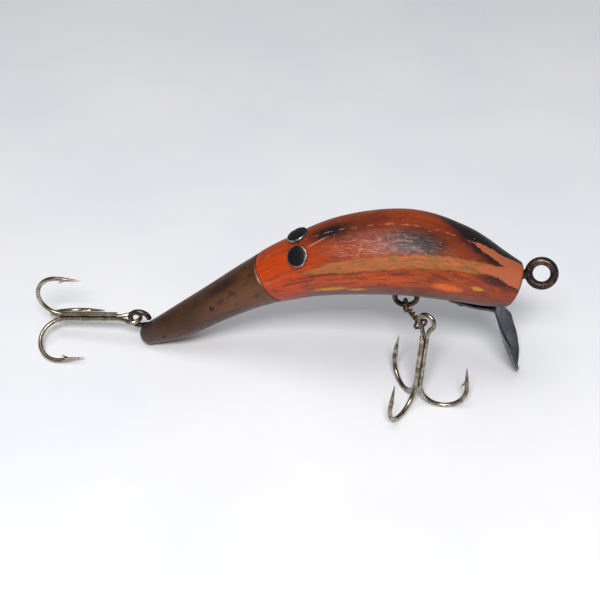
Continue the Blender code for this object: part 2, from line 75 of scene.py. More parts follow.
# %% The lure's own axes
BODY_ROLL_DEG = 8.0
BELLY_EYE_X, BELLY_EYE_Z, BELLY_RING, BELLY_WIRE = 58.7, 21.0, 2.4, 0.6
joints = {joint["name"]: joint for joint in frame["record"]["behaviour"]["joints"]}
link_pivot = Vector(joints["belly_link_swing"]["pos_m"])
treble_pivot = Vector(joints["belly_treble_swing"]["pos_m"])
tail_pivot = Vector(joints["tail_treble_swing"]["pos_m"])
roll = Matrix.Rotation(math.radians(BODY_ROLL_DEG), 4, "X")
stand = link_pivot - roll @ (Vector((BELLY_EYE_X, 0, BELLY_EYE_Z - BELLY_RING)) * MM)
LURE = Matrix.Translation(stand) @ roll
print("stand", [round(v, 5) for v in stand])


# %% [markdown]
# Every piece here is either a loft through rings of points or a round wire along a path.
# Both are short functions: the loft makes quads that shade smoothly, and the wire is a curve with a bevel,
# which keeps a true round section however the path bends.

# %% Mesh helpers
CREASE = math.radians(40)  # edges sharper than this stay sharp
WELD = 0.005 * MM


def put(name, data):
    """A new object in the scene."""
    made = bpy.data.objects.new(name, data)
    bpy.context.scene.collection.objects.link(made)
    return made


def to_data(name, mesh):
    """A smooth shaded mesh from a bmesh, which is freed."""
    data = bpy.data.meshes.new(name)
    mesh.to_mesh(data)
    mesh.free()
    data.shade_smooth()
    return data


def finish_piece(name, data, finish, body, node):
    """Puts a new mesh in the scene, in place of a CAD node, with its finish and its body."""
    piece = put(name, data)
    data.materials.clear()
    data.materials.append(finish)
    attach(piece, body)
    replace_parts(piece, node)
    return piece


def smooth(points, steps):
    """Evenly stepped points on a Catmull-Rom curve through the rows of points."""
    rows = np.array(points, float)
    rows = np.vstack([2 * rows[0] - rows[1], rows, 2 * rows[-1] - rows[-2]])
    out = []
    for t in np.linspace(0, len(points) - 1, steps):
        i = min(int(t), len(points) - 2)
        u = t - i
        a, b, c, d = rows[i : i + 4]
        cubic = (3 * b - a - 3 * c + d) * u**3
        out.append(0.5 * (2 * b + (c - a) * u + (2 * a - 5 * b + 4 * c - d) * u**2 + cubic))
    return np.array(out)


def arc(centre, right, up, radius, start_deg, end_deg, steps):
    """Points on a circle, from the right and turning towards up."""
    centre, right, up = Vector(centre), Vector(right), Vector(up)
    angles = np.radians(np.linspace(start_deg, end_deg, steps))
    return [centre + (right * math.cos(a) + up * math.sin(a)) * radius for a in angles]


def loft(name, rings, place, closed=True, capped=True, uv=None):
    """Quads through rings of points, in millimetres, carried to the world by place."""
    mesh = bmesh.new()
    rows = [[mesh.verts.new(place @ (Vector(p) * MM)) for p in ring] for ring in rings]
    count = len(rows[0])
    layer = mesh.loops.layers.uv.new("skin") if uv else None
    for r, (near, far) in enumerate(zip(rows, rows[1:])):
        for i in range(count if closed else count - 1):
            j = (i + 1) % count
            face = mesh.faces.new((near[i], near[j], far[j], far[i]))
            if uv:
                for loop, (row, column) in zip(face.loops, ((r, i), (r, i + 1), (r + 1, i + 1), (r + 1, i))):
                    loop[layer].uv = uv(row, column)
    if capped:
        for ring, row in ((rows[0][::-1], 0), (rows[-1], len(rows) - 1)):
            face = mesh.faces.new(ring)
            if uv:
                for k, loop in enumerate(face.loops):
                    loop[layer].uv = uv(row, k)
        bmesh.ops.recalc_face_normals(mesh, faces=mesh.faces)
    return to_data(name, mesh)


def evaluated_mesh(piece):
    """A copy of the object's mesh with its modifiers or its bevel applied."""
    bpy.context.view_layer.update()
    return bpy.data.meshes.new_from_object(piece.evaluated_get(bpy.context.evaluated_depsgraph_get()))


def wire_mesh(name, path, radius, place, radii=None, sides=4):
    """A round wire along a path of millimetre points, as a welded mesh in the world."""
    curve = bpy.data.curves.new(name, "CURVE")
    curve.dimensions = "3D"
    curve.bevel_depth = radius * MM
    curve.bevel_resolution = sides
    curve.use_fill_caps = True
    spline = curve.splines.new("POLY")
    spline.points.add(len(path) - 1)
    for i, point in enumerate(path):
        spline.points[i].co = (*(Vector(point) * MM), 1.0)
        spline.points[i].radius = radii[i] / radius if radii else 1.0
    holder = put(name, curve)
    data = evaluated_mesh(holder)
    bpy.data.objects.remove(holder, do_unlink=True)
    mesh = bmesh.new()
    mesh.from_mesh(data)
    bmesh.ops.remove_doubles(mesh, verts=mesh.verts, dist=WELD)
    bmesh.ops.recalc_face_normals(mesh, faces=mesh.faces)
    bmesh.ops.transform(mesh, matrix=place, verts=mesh.verts)
    mesh.to_mesh(data)
    mesh.free()
    data.shade_smooth()
    return data


# %% [markdown]
# A finish is a small node tree. Writing one is quicker with helpers: one adds a node and wires its inputs,
# one does arithmetic, one lays a colour over another, and one maps a value through stops like a colour ramp.
# Effects that several finishes share, such as blotches and pits, are node groups with named sockets.

# %% Node helpers
def add(tree, kind, wires=None, **settings):
    made = tree.nodes.new(kind)
    for key, value in settings.items():
        setattr(made, key, value)
    for key, value in (wires or {}).items():
        if isinstance(value, bpy.types.NodeSocket):
            tree.links.new(value, made.inputs[key])
        else:
            made.inputs[key].default_value = value
    return made


def calc(tree, operation, a, b=0.0, c=0.0):
    return add(tree, "ShaderNodeMath", {0: a, 1: b, 2: c}, operation=operation).outputs[0]


def noise(tree, place, scale, detail, roughness=0.5):
    wires = {"Vector": place, "Scale": scale, "Detail": detail, "Roughness": roughness}
    return add(tree, "ShaderNodeTexNoise", wires).outputs["Fac"]


def remap(tree, value, low, high, to_low=0.0, to_high=1.0):
    wires = {"Value": value, "From Min": low, "From Max": high, "To Min": to_low, "To Max": to_high}
    return add(tree, "ShaderNodeMapRange", wires).outputs["Result"]


def blend(tree, mask, under, over, mode="MIX"):
    made = add(tree, "ShaderNodeMix", data_type="RGBA", blend_type=mode)
    for socket, value in ((0, mask), (6, under), (7, over)):
        if isinstance(value, bpy.types.NodeSocket):
            tree.links.new(value, made.inputs[socket])
        else:
            made.inputs[socket].default_value = value
    return made.outputs[2]


def ramp(tree, value, stops):
    """A grey ramp through (position, value) stops."""
    made = add(tree, "ShaderNodeValToRGB", {"Fac": value})
    ramp_stops = made.color_ramp.elements
    while len(ramp_stops) < len(stops):
        ramp_stops.new(0.5)
    for element, (position, level) in zip(ramp_stops, stops):
        element.position = position
        element.color = (level, level, level, 1.0)
    return made.outputs["Color"]


def rgb(red, green, blue):
    """A colour in linear light from the 0 to 255 values that a paint chart gives."""
    shares = [value / 255 for value in (red, green, blue)]
    return (*[v / 12.92 if v < 10 / 255 else ((v + 0.055) / 1.055) ** 2.4 for v in shares], 1.0)


# %% Shared effects
def new_group(name, inputs, outputs):
    tree = bpy.data.node_groups.new(name, "ShaderNodeTree")
    for label, kind, start in inputs:
        socket = tree.interface.new_socket(label, in_out="INPUT", socket_type=kind)
        if start is not None:
            socket.default_value = start
    for label, kind in outputs:
        tree.interface.new_socket(label, in_out="OUTPUT", socket_type=kind)
    return tree, tree.nodes.new("NodeGroupInput"), tree.nodes.new("NodeGroupOutput")


FLOAT, VECTOR = "NodeSocketFloat", "NodeSocketVector"


def blotches_group():
    """Soft islands, as of tarnish or old varnish."""
    inputs = (("Place", VECTOR, None), ("Scale", FLOAT, 0.3), ("Start", FLOAT, 0.5), ("End", FLOAT, 0.65))
    tree, given, out = new_group("blotches", inputs, (("Mask", FLOAT),))
    cloud = noise(tree, given.outputs["Place"], given.outputs["Scale"], 6.0, 0.6)
    mask = remap(tree, cloud, given.outputs["Start"], given.outputs["End"])
    tree.links.new(mask, out.inputs["Mask"])
    return tree


def pits_group():
    """Small round pits or specks, some deep and some missing."""
    inputs = (("Place", VECTOR, None), ("Scale", FLOAT, 2.0), ("Size", FLOAT, 0.25), ("Share", FLOAT, 0.5))
    tree, given, out = new_group("pits", inputs, (("Mask", FLOAT),))
    wires = {"Vector": given.outputs["Place"], "Scale": given.outputs["Scale"], "Randomness": 1.0}
    cells = add(tree, "ShaderNodeTexVoronoi", wires)
    size = given.outputs["Size"]
    dots = remap(tree, cells.outputs["Distance"], size, calc(tree, "MULTIPLY", size, 0.55))
    grey = add(tree, "ShaderNodeSeparateColor", {"Color": cells.outputs["Color"]}).outputs["Red"]
    kept = calc(tree, "LESS_THAN", grey, given.outputs["Share"])
    tree.links.new(calc(tree, "MULTIPLY", dots, kept), out.inputs["Mask"])
    return tree


def streaks_group():
    """Fine lines along the first axis, as grain or brushing leaves."""
    inputs = (("Place", VECTOR, None), ("Scale", FLOAT, 1.0), ("Stretch", FLOAT, 0.08), ("Cut", FLOAT, 0.6))
    tree, given, out = new_group("streaks", inputs, (("Mask", FLOAT),))
    parts = add(tree, "ShaderNodeSeparateXYZ", {"Vector": given.outputs["Place"]})
    slow = calc(tree, "MULTIPLY", parts.outputs["X"], given.outputs["Stretch"])
    bent = add(tree, "ShaderNodeCombineXYZ", {"X": slow, "Y": parts.outputs["Y"], "Z": parts.outputs["Z"]})
    lines = noise(tree, bent.outputs[0], given.outputs["Scale"], 8.0, 0.7)
    cut = given.outputs["Cut"]
    tree.links.new(remap(tree, lines, cut, calc(tree, "ADD", cut, 0.08)), out.inputs["Mask"])
    return tree


BLOTCHES, PITS, STREAKS = blotches_group(), pits_group(), streaks_group()
print("groups", BLOTCHES.name, PITS.name, STREAKS.name)


def effect(tree, group, place, **values):
    """The mask of a shared effect at a place, with its other inputs given by name."""
    made = add(tree, "ShaderNodeGroup", node_tree=group)
    tree.links.new(place, made.inputs["Place"])
    for key, value in values.items():
        made.inputs[key.capitalize()].default_value = value
    return made.outputs["Mask"]


def new_finish(name, roughness, metallic, **sockets):
    """A material with its shader, and the place on the piece in millimetres."""
    made = bpy.data.materials.new(name)
    made.use_nodes = True
    tree = made.node_tree
    shader = tree.nodes["Principled BSDF"]
    shader.inputs["Roughness"].default_value = roughness
    shader.inputs["Metallic"].default_value = metallic
    for key, value in sockets.items():
        shader.inputs[key.replace("_", " ")].default_value = value
    spot = add(tree, "ShaderNodeTexCoord").outputs["Object"]
    scaled = add(tree, "ShaderNodeVectorMath", {0: spot, 1: (1000.0,) * 3}, operation="MULTIPLY")
    return made, tree, shader, scaled.outputs[0]


def wire_up(tree, shader, colour=None, roughness=None, metallic=None, height=None, bump=0.1, distance=0.0001):
    for key, value in (("Base Color", colour), ("Roughness", roughness), ("Metallic", metallic)):
        if value is not None:
            tree.links.new(value, shader.inputs[key])
    if height is not None:
        wires = {"Height": height, "Strength": bump, "Distance": distance}
        normal = add(tree, "ShaderNodeBump", wires).outputs["Normal"]
        tree.links.new(normal, shader.inputs["Normal"])


# %% [markdown]
# The body is turned and carved cedar, bent like a banana, with a flat belly.
# It is a loft: the same spine and radius as the CAD, with many more rings, so that its outline is smooth.
# Each point also gets a flat skin coordinate: how far along, and how far round. Paint is placed on that skin.

# %% The body's spine
SPINE = (
    (0.0, 3.1, 2.5),
    (8.0, 8.3, 3.8),
    (17.0, 15.6, 4.4),
    (26.0, 22.5, 5.4),
    (35.0, 28.0, 6.8),
    (45.7, 32.6, 8.5),
    (58.0, 34.6, 9.2),
    (68.0, 32.6, 8.3),
    (76.0, 29.2, 6.6),
    (81.0, 27.4, 5.2),
)
BELLY_FLAT = 0.94
SHEET, GAP = 0.5, 0.3
SEAM_X, SEAM_SWEEP = 29.0, 1.0
PAINT_STEP = 0.1
SPINE_FINE = smooth(SPINE, 400)
SKIN_LENGTH = 100.0  # millimetres along the skin map
SKIN_SIDES = 144
BELLY_DEG = -90.0  # the skin map's seam runs along the belly


def spine_at(x):
    """Centre, radius and the along direction of the body at x."""
    z = np.interp(x, SPINE_FINE[:, 0], SPINE_FINE[:, 1])
    radius = np.interp(x, SPINE_FINE[:, 0], SPINE_FINE[:, 2])
    ahead = np.interp(x + 0.5, SPINE_FINE[:, 0], SPINE_FINE[:, 1])
    behind = np.interp(x - 0.5, SPINE_FINE[:, 0], SPINE_FINE[:, 1])
    along = Vector((1.0 if 0.5 < x < SPINE[-1][0] - 0.5 else 0.5, 0, ahead - behind)).normalized()
    return Vector((x, 0, z)), radius, along


def section_point(x, angle, radius, shift=0.0):
    """A point on the body's section at x. Angle 0 is the far side and a quarter turn is the top."""
    centre, _, along = spine_at(x)
    up = Vector((-along.z, 0, along.x))
    rise = math.sin(angle)
    if rise < -BELLY_FLAT + 0.04:
        rise = -BELLY_FLAT + 0.04 * math.exp((rise + BELLY_FLAT - 0.04) / 0.04)
    return centre + along * shift + Vector((0, 1, 0)) * radius * math.cos(angle) + up * radius * rise


def seam_x(angle):
    """The copper ends on a line that runs forward as it goes down each side."""
    from_top = abs(math.degrees(angle) % 360 - 90)
    from_top = min(from_top, 360 - from_top)
    return SEAM_X + SEAM_SWEEP * min(1.0, (from_top / 120.0) ** 2)


def skin_loft(name, stations, angles, closed, capped):
    """A loft on the body's section. A station is (how to find x, radius and shift at an angle)."""
    rings, spots = [], []
    for station in stations:
        row = [station(a) for a in angles]
        rings.append([section_point(x, a, radius, shift) for a, (x, radius, shift) in zip(angles, row)])
        spots.append([(x + shift) / SKIN_LENGTH for x, radius, shift in row])
    turns = [(math.degrees(a) - BELLY_DEG) / 360 for a in angles]

    def uv(row, column):
        if column == len(angles):
            return spots[row][0], 1.0
        return spots[row][column], turns[column]

    return loft(name, rings, LURE, closed, capped, uv)


# %% The painted wood
CORE_START_X = 2.2
CORE_CUT = SHEET + GAP
NOSE_X, NOSE_RADIUS = SPINE[-1][0], SPINE[-1][2]
PAINT_LAP = 0.06  # the paint's edge stands this far from the copper
# Each row below is a share of the radius with a shift along, or a place ahead of the seam with a height.
CORE_TIP = ((0.05, -1.0), (0.35, -1.0), (0.75, -0.75))
PAINT_EDGE = (
    (0.0, -0.3), (0.01, -0.12), (0.05, 0.0), (0.14, 0.06), (0.3, 0.09), (0.7, PAINT_STEP), (1.4, PAINT_STEP)
)
NOSE_ROUNDING = (
    (0.99, 0.2), (0.965, 0.42), (0.92, 0.62), (0.86, 0.78),
    (0.78, 0.88), (0.66, 0.93), (0.4, 0.95), (0.05, 0.95),
)


def core_station(part, share=1.0, shift=0.0):
    def station(a):
        x = CORE_START_X + (seam_x(a) + PAINT_LAP - CORE_START_X) * part
        return x, (spine_at(x)[1] - CORE_CUT) * share, shift

    return station


def edge_station(ahead, proud):
    def station(a):
        x = seam_x(a) + PAINT_LAP + ahead
        return x, spine_at(x)[1] + proud, 0.0

    return station


def body_station(part):
    def station(a):
        x = seam_x(a) + 2.0 + (NOSE_X - seam_x(a) - 2.0) * part
        return x, spine_at(x)[1] + PAINT_STEP * max(0.0, 1.0 - part * 12), 0.0

    return station


def nose_station(share, shift):
    return lambda a: (NOSE_X, NOSE_RADIUS * share, shift)


def wood_stations():
    stations = [core_station(0.0, share, shift) for share, shift in CORE_TIP]
    stations += [core_station(part) for part in np.linspace(0, 1, 14)]
    stations += [edge_station(ahead, proud) for ahead, proud in PAINT_EDGE]
    stations += [body_station(part) for part in np.linspace(0, 1, 96)]
    return stations + [nose_station(share, shift) for share, shift in NOSE_ROUNDING]


round_angles = [math.radians(BELLY_DEG) + 2 * math.pi * k / SKIN_SIDES for k in range(SKIN_SIDES)]
wood_data = skin_loft("painted_body", wood_stations(), round_angles, True, True)
print("painted body", len(wood_data.polygons), "faces")


# %% [markdown]
# The paint tells the lure's life. Orange red was sprayed over a salmon primer, then soft black clouds on top.
# A gold line ran along the side, and years of knocks broke the paint through to the primer at the nose.
# Soft clouds are ovals on the skin with a wide edge. Chips are the same ovals with a ragged, narrow edge.

# %% Places on the skin
MEAN_RADIUS = 9.0


class Skin:
    """The skin's coordinates in a material: x in millimetres, turn in degrees, and a straightened place."""

    def __init__(self, tree):
        skin_map = add(tree, "ShaderNodeUVMap", uv_map="skin").outputs["UV"]
        parts = add(tree, "ShaderNodeSeparateXYZ", {"Vector": skin_map})
        self.tree = tree
        self.share = parts.outputs["X"]
        self.x = calc(tree, "MULTIPLY", self.share, SKIN_LENGTH)
        self.turn = calc(tree, "MULTIPLY_ADD", parts.outputs["Y"], 360.0, BELLY_DEG)
        angle = calc(tree, "RADIANS", self.turn)
        side = calc(tree, "MULTIPLY", calc(tree, "COSINE", angle), MEAN_RADIUS)
        top = calc(tree, "MULTIPLY", calc(tree, "SINE", angle), MEAN_RADIUS)
        self.place = add(tree, "ShaderNodeCombineXYZ", {"X": self.x, "Y": side, "Z": top}).outputs[0]

    def noise(self, scale, detail=6.0, roughness=0.62):
        return noise(self.tree, self.place, scale, detail, roughness)

    def ragged(self, value, amount, scale):
        """The value with a noise round zero added, which breaks an outline."""
        tree = self.tree
        change = calc(tree, "MULTIPLY", calc(tree, "SUBTRACT", self.noise(scale), 0.5), amount)
        return calc(tree, "ADD", value, change)

    def oval(self, centre, half, edge=0.3, rough=0.6, scale=0.6):
        """1 inside an oval at (x, degrees), falling to 0 over its edge."""
        tree = self.tree
        along = calc(tree, "DIVIDE", calc(tree, "SUBTRACT", self.x, centre[0]), half[0])
        around = calc(tree, "DIVIDE", calc(tree, "SUBTRACT", self.turn, centre[1]), half[1])
        squares = calc(tree, "ADD", calc(tree, "POWER", calc(tree, "ABSOLUTE", along), 2.0),
                       calc(tree, "POWER", calc(tree, "ABSOLUTE", around), 2.0))
        distance = self.ragged(calc(tree, "SQRT", squares), rough, scale)
        return remap(tree, distance, 1.0 + edge, 1.0 - edge)

    def along_line(self, centre, half, edge=1.5, rough=10.0, scale=0.6):
        """1 near a line that follows (x, degrees) stops, with half its width as stops too.

        The rough edge can still show where the width is 0, unless another mask ends the line.
        """
        tree = self.tree
        middle = calc(tree, "MULTIPLY", self.level(centre), 360.0)
        width = calc(tree, "MULTIPLY", self.level(half), 360.0)
        off = calc(tree, "ABSOLUTE", calc(tree, "SUBTRACT", self.turn, middle))
        inside = self.ragged(calc(tree, "SUBTRACT", width, off), rough, scale)
        return remap(tree, inside, -edge, edge)

    def level(self, stops):
        return ramp(self.tree, self.share, [(x / SKIN_LENGTH, degrees / 360) for x, degrees in stops])

    def between(self, value, low, high, soft):
        """1 where value lies between low and high, soft at both ends."""
        tree = self.tree
        up = remap(tree, value, low - soft, low + soft)
        down = remap(tree, value, high + soft, high - soft)
        return calc(tree, "MULTIPLY", up, down)


def times(tree, *masks):
    made = masks[0]
    for mask in masks[1:]:
        made = calc(tree, "MULTIPLY", made, mask)
    return made


def either(tree, one, other):
    return calc(tree, "MAXIMUM", one, other)


def tint(tree, colour, over, *masks):
    """The colour with another laid over it where all the masks are 1."""
    return blend(tree, times(tree, *masks), colour, over)


# %% Orange paint over primer
FRONT_ORANGE, BRIGHT_ORANGE, CLEAN_ORANGE = rgb(166, 54, 2), rgb(164, 62, 6), rgb(190, 84, 16)
BACK_RED, WARM_RED, DEEP_RED = rgb(142, 58, 14), rgb(122, 42, 10), rgb(74, 30, 16)
PRIMER, ROSY_PRIMER = rgb(156, 88, 56), rgb(160, 80, 50)
OLD_GOLD, RED_GOLD, DARK_GOLD = rgb(130, 82, 38), rgb(158, 82, 44), rgb(104, 54, 28)
CLOUD_BLACK, CLOUD_EDGE, MAROON = rgb(22, 17, 18), rgb(78, 30, 16), rgb(62, 26, 26)
BELLY_BROWN, DIRT, LINE_SHADE, RIM_DIRT = rgb(88, 52, 48), rgb(60, 26, 20), rgb(56, 24, 16), rgb(52, 26, 18)
# The pale wear colour also paints the highlight specks on the widest part of the body.
YELLOW, PALE_WEAR_AND_HIGHLIGHT, CHIP_WHITE = rgb(168, 116, 28), rgb(176, 128, 118), rgb(196, 178, 158)
# Places on the skin are (x, degrees), and widths are (x, half the width in degrees).
YELLOW_SPOTS = (((42.2, 191.0), (3.4, 4.0)), ((72.8, 167.0), (1.3, 4.0)), ((48.0, 196.0), (2.0, 3.0)))
BLACK_EDGE = (
    (58.0, 44.0), (62.4, 58.0), (64.4, 80.0), (67.6, 99.0),
    (70.0, 111.0), (73.0, 116.0), (77.0, 114.0), (84.0, 112.0),
)
SIDE_LINE = (
    (39.0, 153.0), (46.0, 154.0), (55.6, 152.0), (64.0, 143.0), (70.0, 135.0), (76.0, 125.0), (84.0, 121.0)
)
BELOW_SIDE_LINE = tuple((x, degrees + 8.0) for x, degrees in SIDE_LINE)
GOLD_WIDTH = ((37.5, 0.0), (40.0, 4.0), (46.0, 9.0), (66.0, 9.0), (84.0, 10.0))
SHADE_WIDTH = ((34.0, 0.0), (37.0, 1.5), (52.0, 2.2), (60.0, 0.0))
BARE_WIDTH = ((70.0, 0.0), (72.0, 6.0), (76.0, 11.0), (80.0, 21.0), (84.0, 30.0))
LOBE_LINE = ((69.0, 98.0), (72.0, 99.0), (76.0, 101.0), (80.0, 98.0), (84.0, 96.0))
LOBE_WIDTH = ((68.8, 0.0), (70.2, 4.0), (73.0, 8.0), (77.0, 11.0), (80.0, 17.0), (84.0, 22.0))
SCRATCH_LINE = ((40.0, 115.0), (41.2, 112.0), (43.2, 108.0), (46.0, 102.0))
SCRATCH_WIDTH = ((40.2, 0.0), (41.0, 0.8), (43.5, 0.8), (44.5, 0.0))


def worn_coat(tree, skin):
    """The orange red coat with its dirt and brown belly, and the mask of its fine dark lines."""
    patches = effect(tree, BLOTCHES, skin.place, scale=0.16, start=0.42, end=0.62)
    colour = blend(tree, patches, BACK_RED, WARM_RED)
    # The paint is brightest behind the eyes, where no hand has worn it.
    colour = tint(tree, colour, FRONT_ORANGE, skin.oval((30.0, 165.0), (11.0, 110.0), 0.5, 0.8, 0.3))
    colour = tint(tree, colour, BRIGHT_ORANGE, skin.oval((52.0, 176.0), (14.0, 9.0), 0.5, 1.0, 0.5))
    # Handling has darkened it in fine lines along the grain, most of all on the low side.
    grime = effect(tree, STREAKS, skin.place, scale=1.8, stretch=0.12, cut=0.5)
    low_side = skin.between(skin.turn, 150.0, 240.0, 14.0)
    colour = tint(tree, colour, DEEP_RED, grime, remap(tree, low_side, 0.0, 1.0, 0.4, 0.8))
    speckle = effect(tree, PITS, skin.place, scale=2.2, size=0.4, share=0.6)
    dirty = effect(tree, BLOTCHES, skin.place, scale=0.22, start=0.48, end=0.6)
    colour = tint(tree, colour, DIRT, speckle, dirty, skin.between(skin.x, 33.0, 90.0, 3.0))
    # The lower edges turn brown towards the belly on both sides, with patches of clean colour left.
    near_belly = remap(tree, skin.ragged(skin.turn, 34.0, 0.35), 186.0, 206.0)
    far_belly = remap(tree, skin.ragged(skin.turn, 24.0, 0.35), -6.0, -26.0)
    belly = either(tree, near_belly, far_belly)
    colour = tint(tree, colour, BELLY_BROWN, belly, skin.between(skin.x, 34.0, 90.0, 3.0))
    colour = tint(tree, colour, CLEAN_ORANGE, skin.oval((67.2, 178.0), (3.0, 6.0), 0.3, 1.1, 0.8))
    for spot, half in YELLOW_SPOTS:
        colour = tint(tree, colour, YELLOW, skin.oval(spot, half, 0.25, 1.6, 1.1))
    return colour, grime


def black_clouds(tree, skin, colour):
    """Soft black on the back: two spots, and a band over the nose with a maroon fringe."""
    brown = either(tree, skin.oval((47.0, 96.0), (8.0, 22.0), 0.5, 0.7, 0.3),
                   skin.oval((60.5, 118.0), (7.5, 26.0), 0.5, 0.9, 0.3))
    colour = tint(tree, colour, CLOUD_EDGE, brown, 0.72)
    spots = either(tree, skin.oval((44.8, 97.0), (3.4, 11.0), 0.45, 0.8, 0.45),
                   skin.oval((59.6, 121.0), (4.0, 15.0), 0.5, 1.5, 0.8))
    edge = calc(tree, "MULTIPLY", skin.level(BLACK_EDGE), 360.0)
    reach = skin.ragged(calc(tree, "SUBTRACT", edge, skin.turn), 20.0, 0.4)
    far_end = remap(tree, skin.ragged(skin.turn, 30.0, 0.3), 34.0, 58.0)
    band = times(tree, remap(tree, reach, -7.0, 7.0), far_end, remap(tree, skin.x, 58.0, 66.0))
    fringe = times(tree, remap(tree, reach, -22.0, 0.0), far_end, remap(tree, skin.x, 56.0, 63.0))
    colour = tint(tree, colour, MAROON, fringe, 0.75)
    colour = tint(tree, colour, CLOUD_BLACK, either(tree, spots, band))
    return tint(tree, colour, MAROON, skin.oval((77.0, 142.0), (5.8, 11.0), 0.4, 0.8, 0.5))


def gold_and_primer(tree, skin, colour):
    """The gold line along the side, the bare primer at the nose, and the mask of both."""
    gold = skin.along_line(SIDE_LINE, GOLD_WIDTH, 1.2, 9.0, 0.6)
    tone = blend(tree, effect(tree, BLOTCHES, skin.place, scale=0.5, start=0.4, end=0.62), OLD_GOLD, RED_GOLD)
    lines = effect(tree, STREAKS, skin.place, scale=2.0, stretch=0.2, cut=0.5)
    tone = tint(tree, tone, DARK_GOLD, lines, 0.5)
    shade = skin.along_line(BELOW_SIDE_LINE, SHADE_WIDTH, 0.8, 5.0, 0.8)
    colour = tint(tree, colour, LINE_SHADE, shade, 0.75)
    colour = tint(tree, colour, tone, gold)
    primer = either(tree, skin.along_line(SIDE_LINE, BARE_WIDTH, 0.7, 14.0, 0.6),
                    skin.along_line(LOBE_LINE, LOBE_WIDTH, 0.7, 15.0, 0.7))
    colour = tint(tree, colour, blend(tree, skin.noise(0.8), PRIMER, ROSY_PRIMER), primer)
    return colour, either(tree, gold, primer)


def chips_and_scratches(tree, skin, colour):
    """Small pale chips and scratches and a dark rim at the nose, and the mask of the chips."""
    chips = effect(tree, PITS, skin.place, scale=1.5, size=0.2, share=0.16)
    colour = tint(tree, colour, CHIP_WHITE, chips, 0.35)
    fine = effect(tree, STREAKS, skin.place, scale=3.0, stretch=0.05, cut=0.66)
    colour = tint(tree, colour, PALE_WEAR_AND_HIGHLIGHT, fine, 0.55)
    scratch = skin.along_line(SCRATCH_LINE, SCRATCH_WIDTH, 0.7, 1.0, 1.0)
    colour = tint(tree, colour, PALE_WEAR_AND_HIGHLIGHT, scratch, skin.between(skin.x, 40.4, 44.4, 0.4), 0.8)
    nose_rim = remap(tree, skin.ragged(skin.x, 1.2, 0.7), 81.1, 81.5)
    return tint(tree, colour, RIM_DIRT, nose_rim, 0.6), chips


def paint_finish():
    made, tree, shader, _ = new_finish("worn_orange_paint", 0.36, 0.0, Specular_IOR_Level=0.3)
    skin = Skin(tree)
    colour, grime = worn_coat(tree, skin)
    colour = black_clouds(tree, skin, colour)
    # A pale bloom of fine specks on the widest part: partly rubbed paint, partly a painted highlight where
    # the gloss faces the key lamp.
    worn_highlight_specks = times(tree, skin.oval((54.5, 130.0), (8.0, 18.0), 0.6, 0.9, 0.4),
                  effect(tree, STREAKS, skin.place, scale=2.4, stretch=0.3, cut=0.5))
    colour = tint(tree, colour, PALE_WEAR_AND_HIGHLIGHT, worn_highlight_specks, 0.5)
    colour, wear = gold_and_primer(tree, skin, colour)
    colour, chips = chips_and_scratches(tree, skin, colour)
    height = skin.noise(0.9, 8.0)
    for mask, depth in ((wear, 0.35), (grime, 0.2), (chips, 0.4)):
        height = calc(tree, "SUBTRACT", height, calc(tree, "MULTIPLY", mask, depth))
    scuffed = calc(tree, "ADD", calc(tree, "MULTIPLY", wear, 0.4), calc(tree, "MULTIPLY", worn_highlight_specks, 0.5))
    roughness = remap(tree, calc(tree, "ADD", scuffed, skin.noise(0.9)), 0.3, 1.1, 0.34, 0.68)
    wire_up(tree, shader, colour, roughness, None, height, 0.5, 0.00012)
    return made


painted = paint_finish()
finish_piece("painted_body", wood_data, painted, "lure_body", "wood_body")
print("paint", len(painted.node_tree.nodes), "nodes")


# %% [markdown]
# The tail is wrapped in thin copper sheet, open underneath, and it has gone brown with dark islands.
# The sheet is an open loft with real thickness from a Solidify modifier. Its lower edges are grey, partly
# rubbed metal and partly a painted highlight along the sheet's edge.

# %% The copper sheath
SHEATH_OPEN_DEG = 38.0
SHEATH_TIP = (
    (0.05, -1.6), (0.2, -1.58), (0.42, -1.45), (0.62, -1.3),
    (0.75, -1.12), (0.85, -0.9), (0.93, -0.62), (0.97, -0.35),
)
COPPER, DARK_COPPER = rgb(88, 56, 38), rgb(68, 42, 28)
WARM_COPPER, RUBBED_COPPER = rgb(98, 62, 38), rgb(140, 100, 72)
ISLAND_BROWN, STAIN, LOW_STAIN = rgb(44, 30, 26), rgb(40, 28, 26), rgb(46, 30, 26)
BRASSY_SPECK, GREY_TIP, GREY_EDGE = rgb(150, 124, 84), rgb(70, 68, 66), rgb(84, 86, 92)


def tip_station(share, shift):
    return lambda a: (0.0, (SPINE[0][2] - SHEET) * share, shift)


def sheath_station(part):
    def station(a):
        x = seam_x(a) * part
        return x, spine_at(x)[1] - SHEET, 0.0

    return station


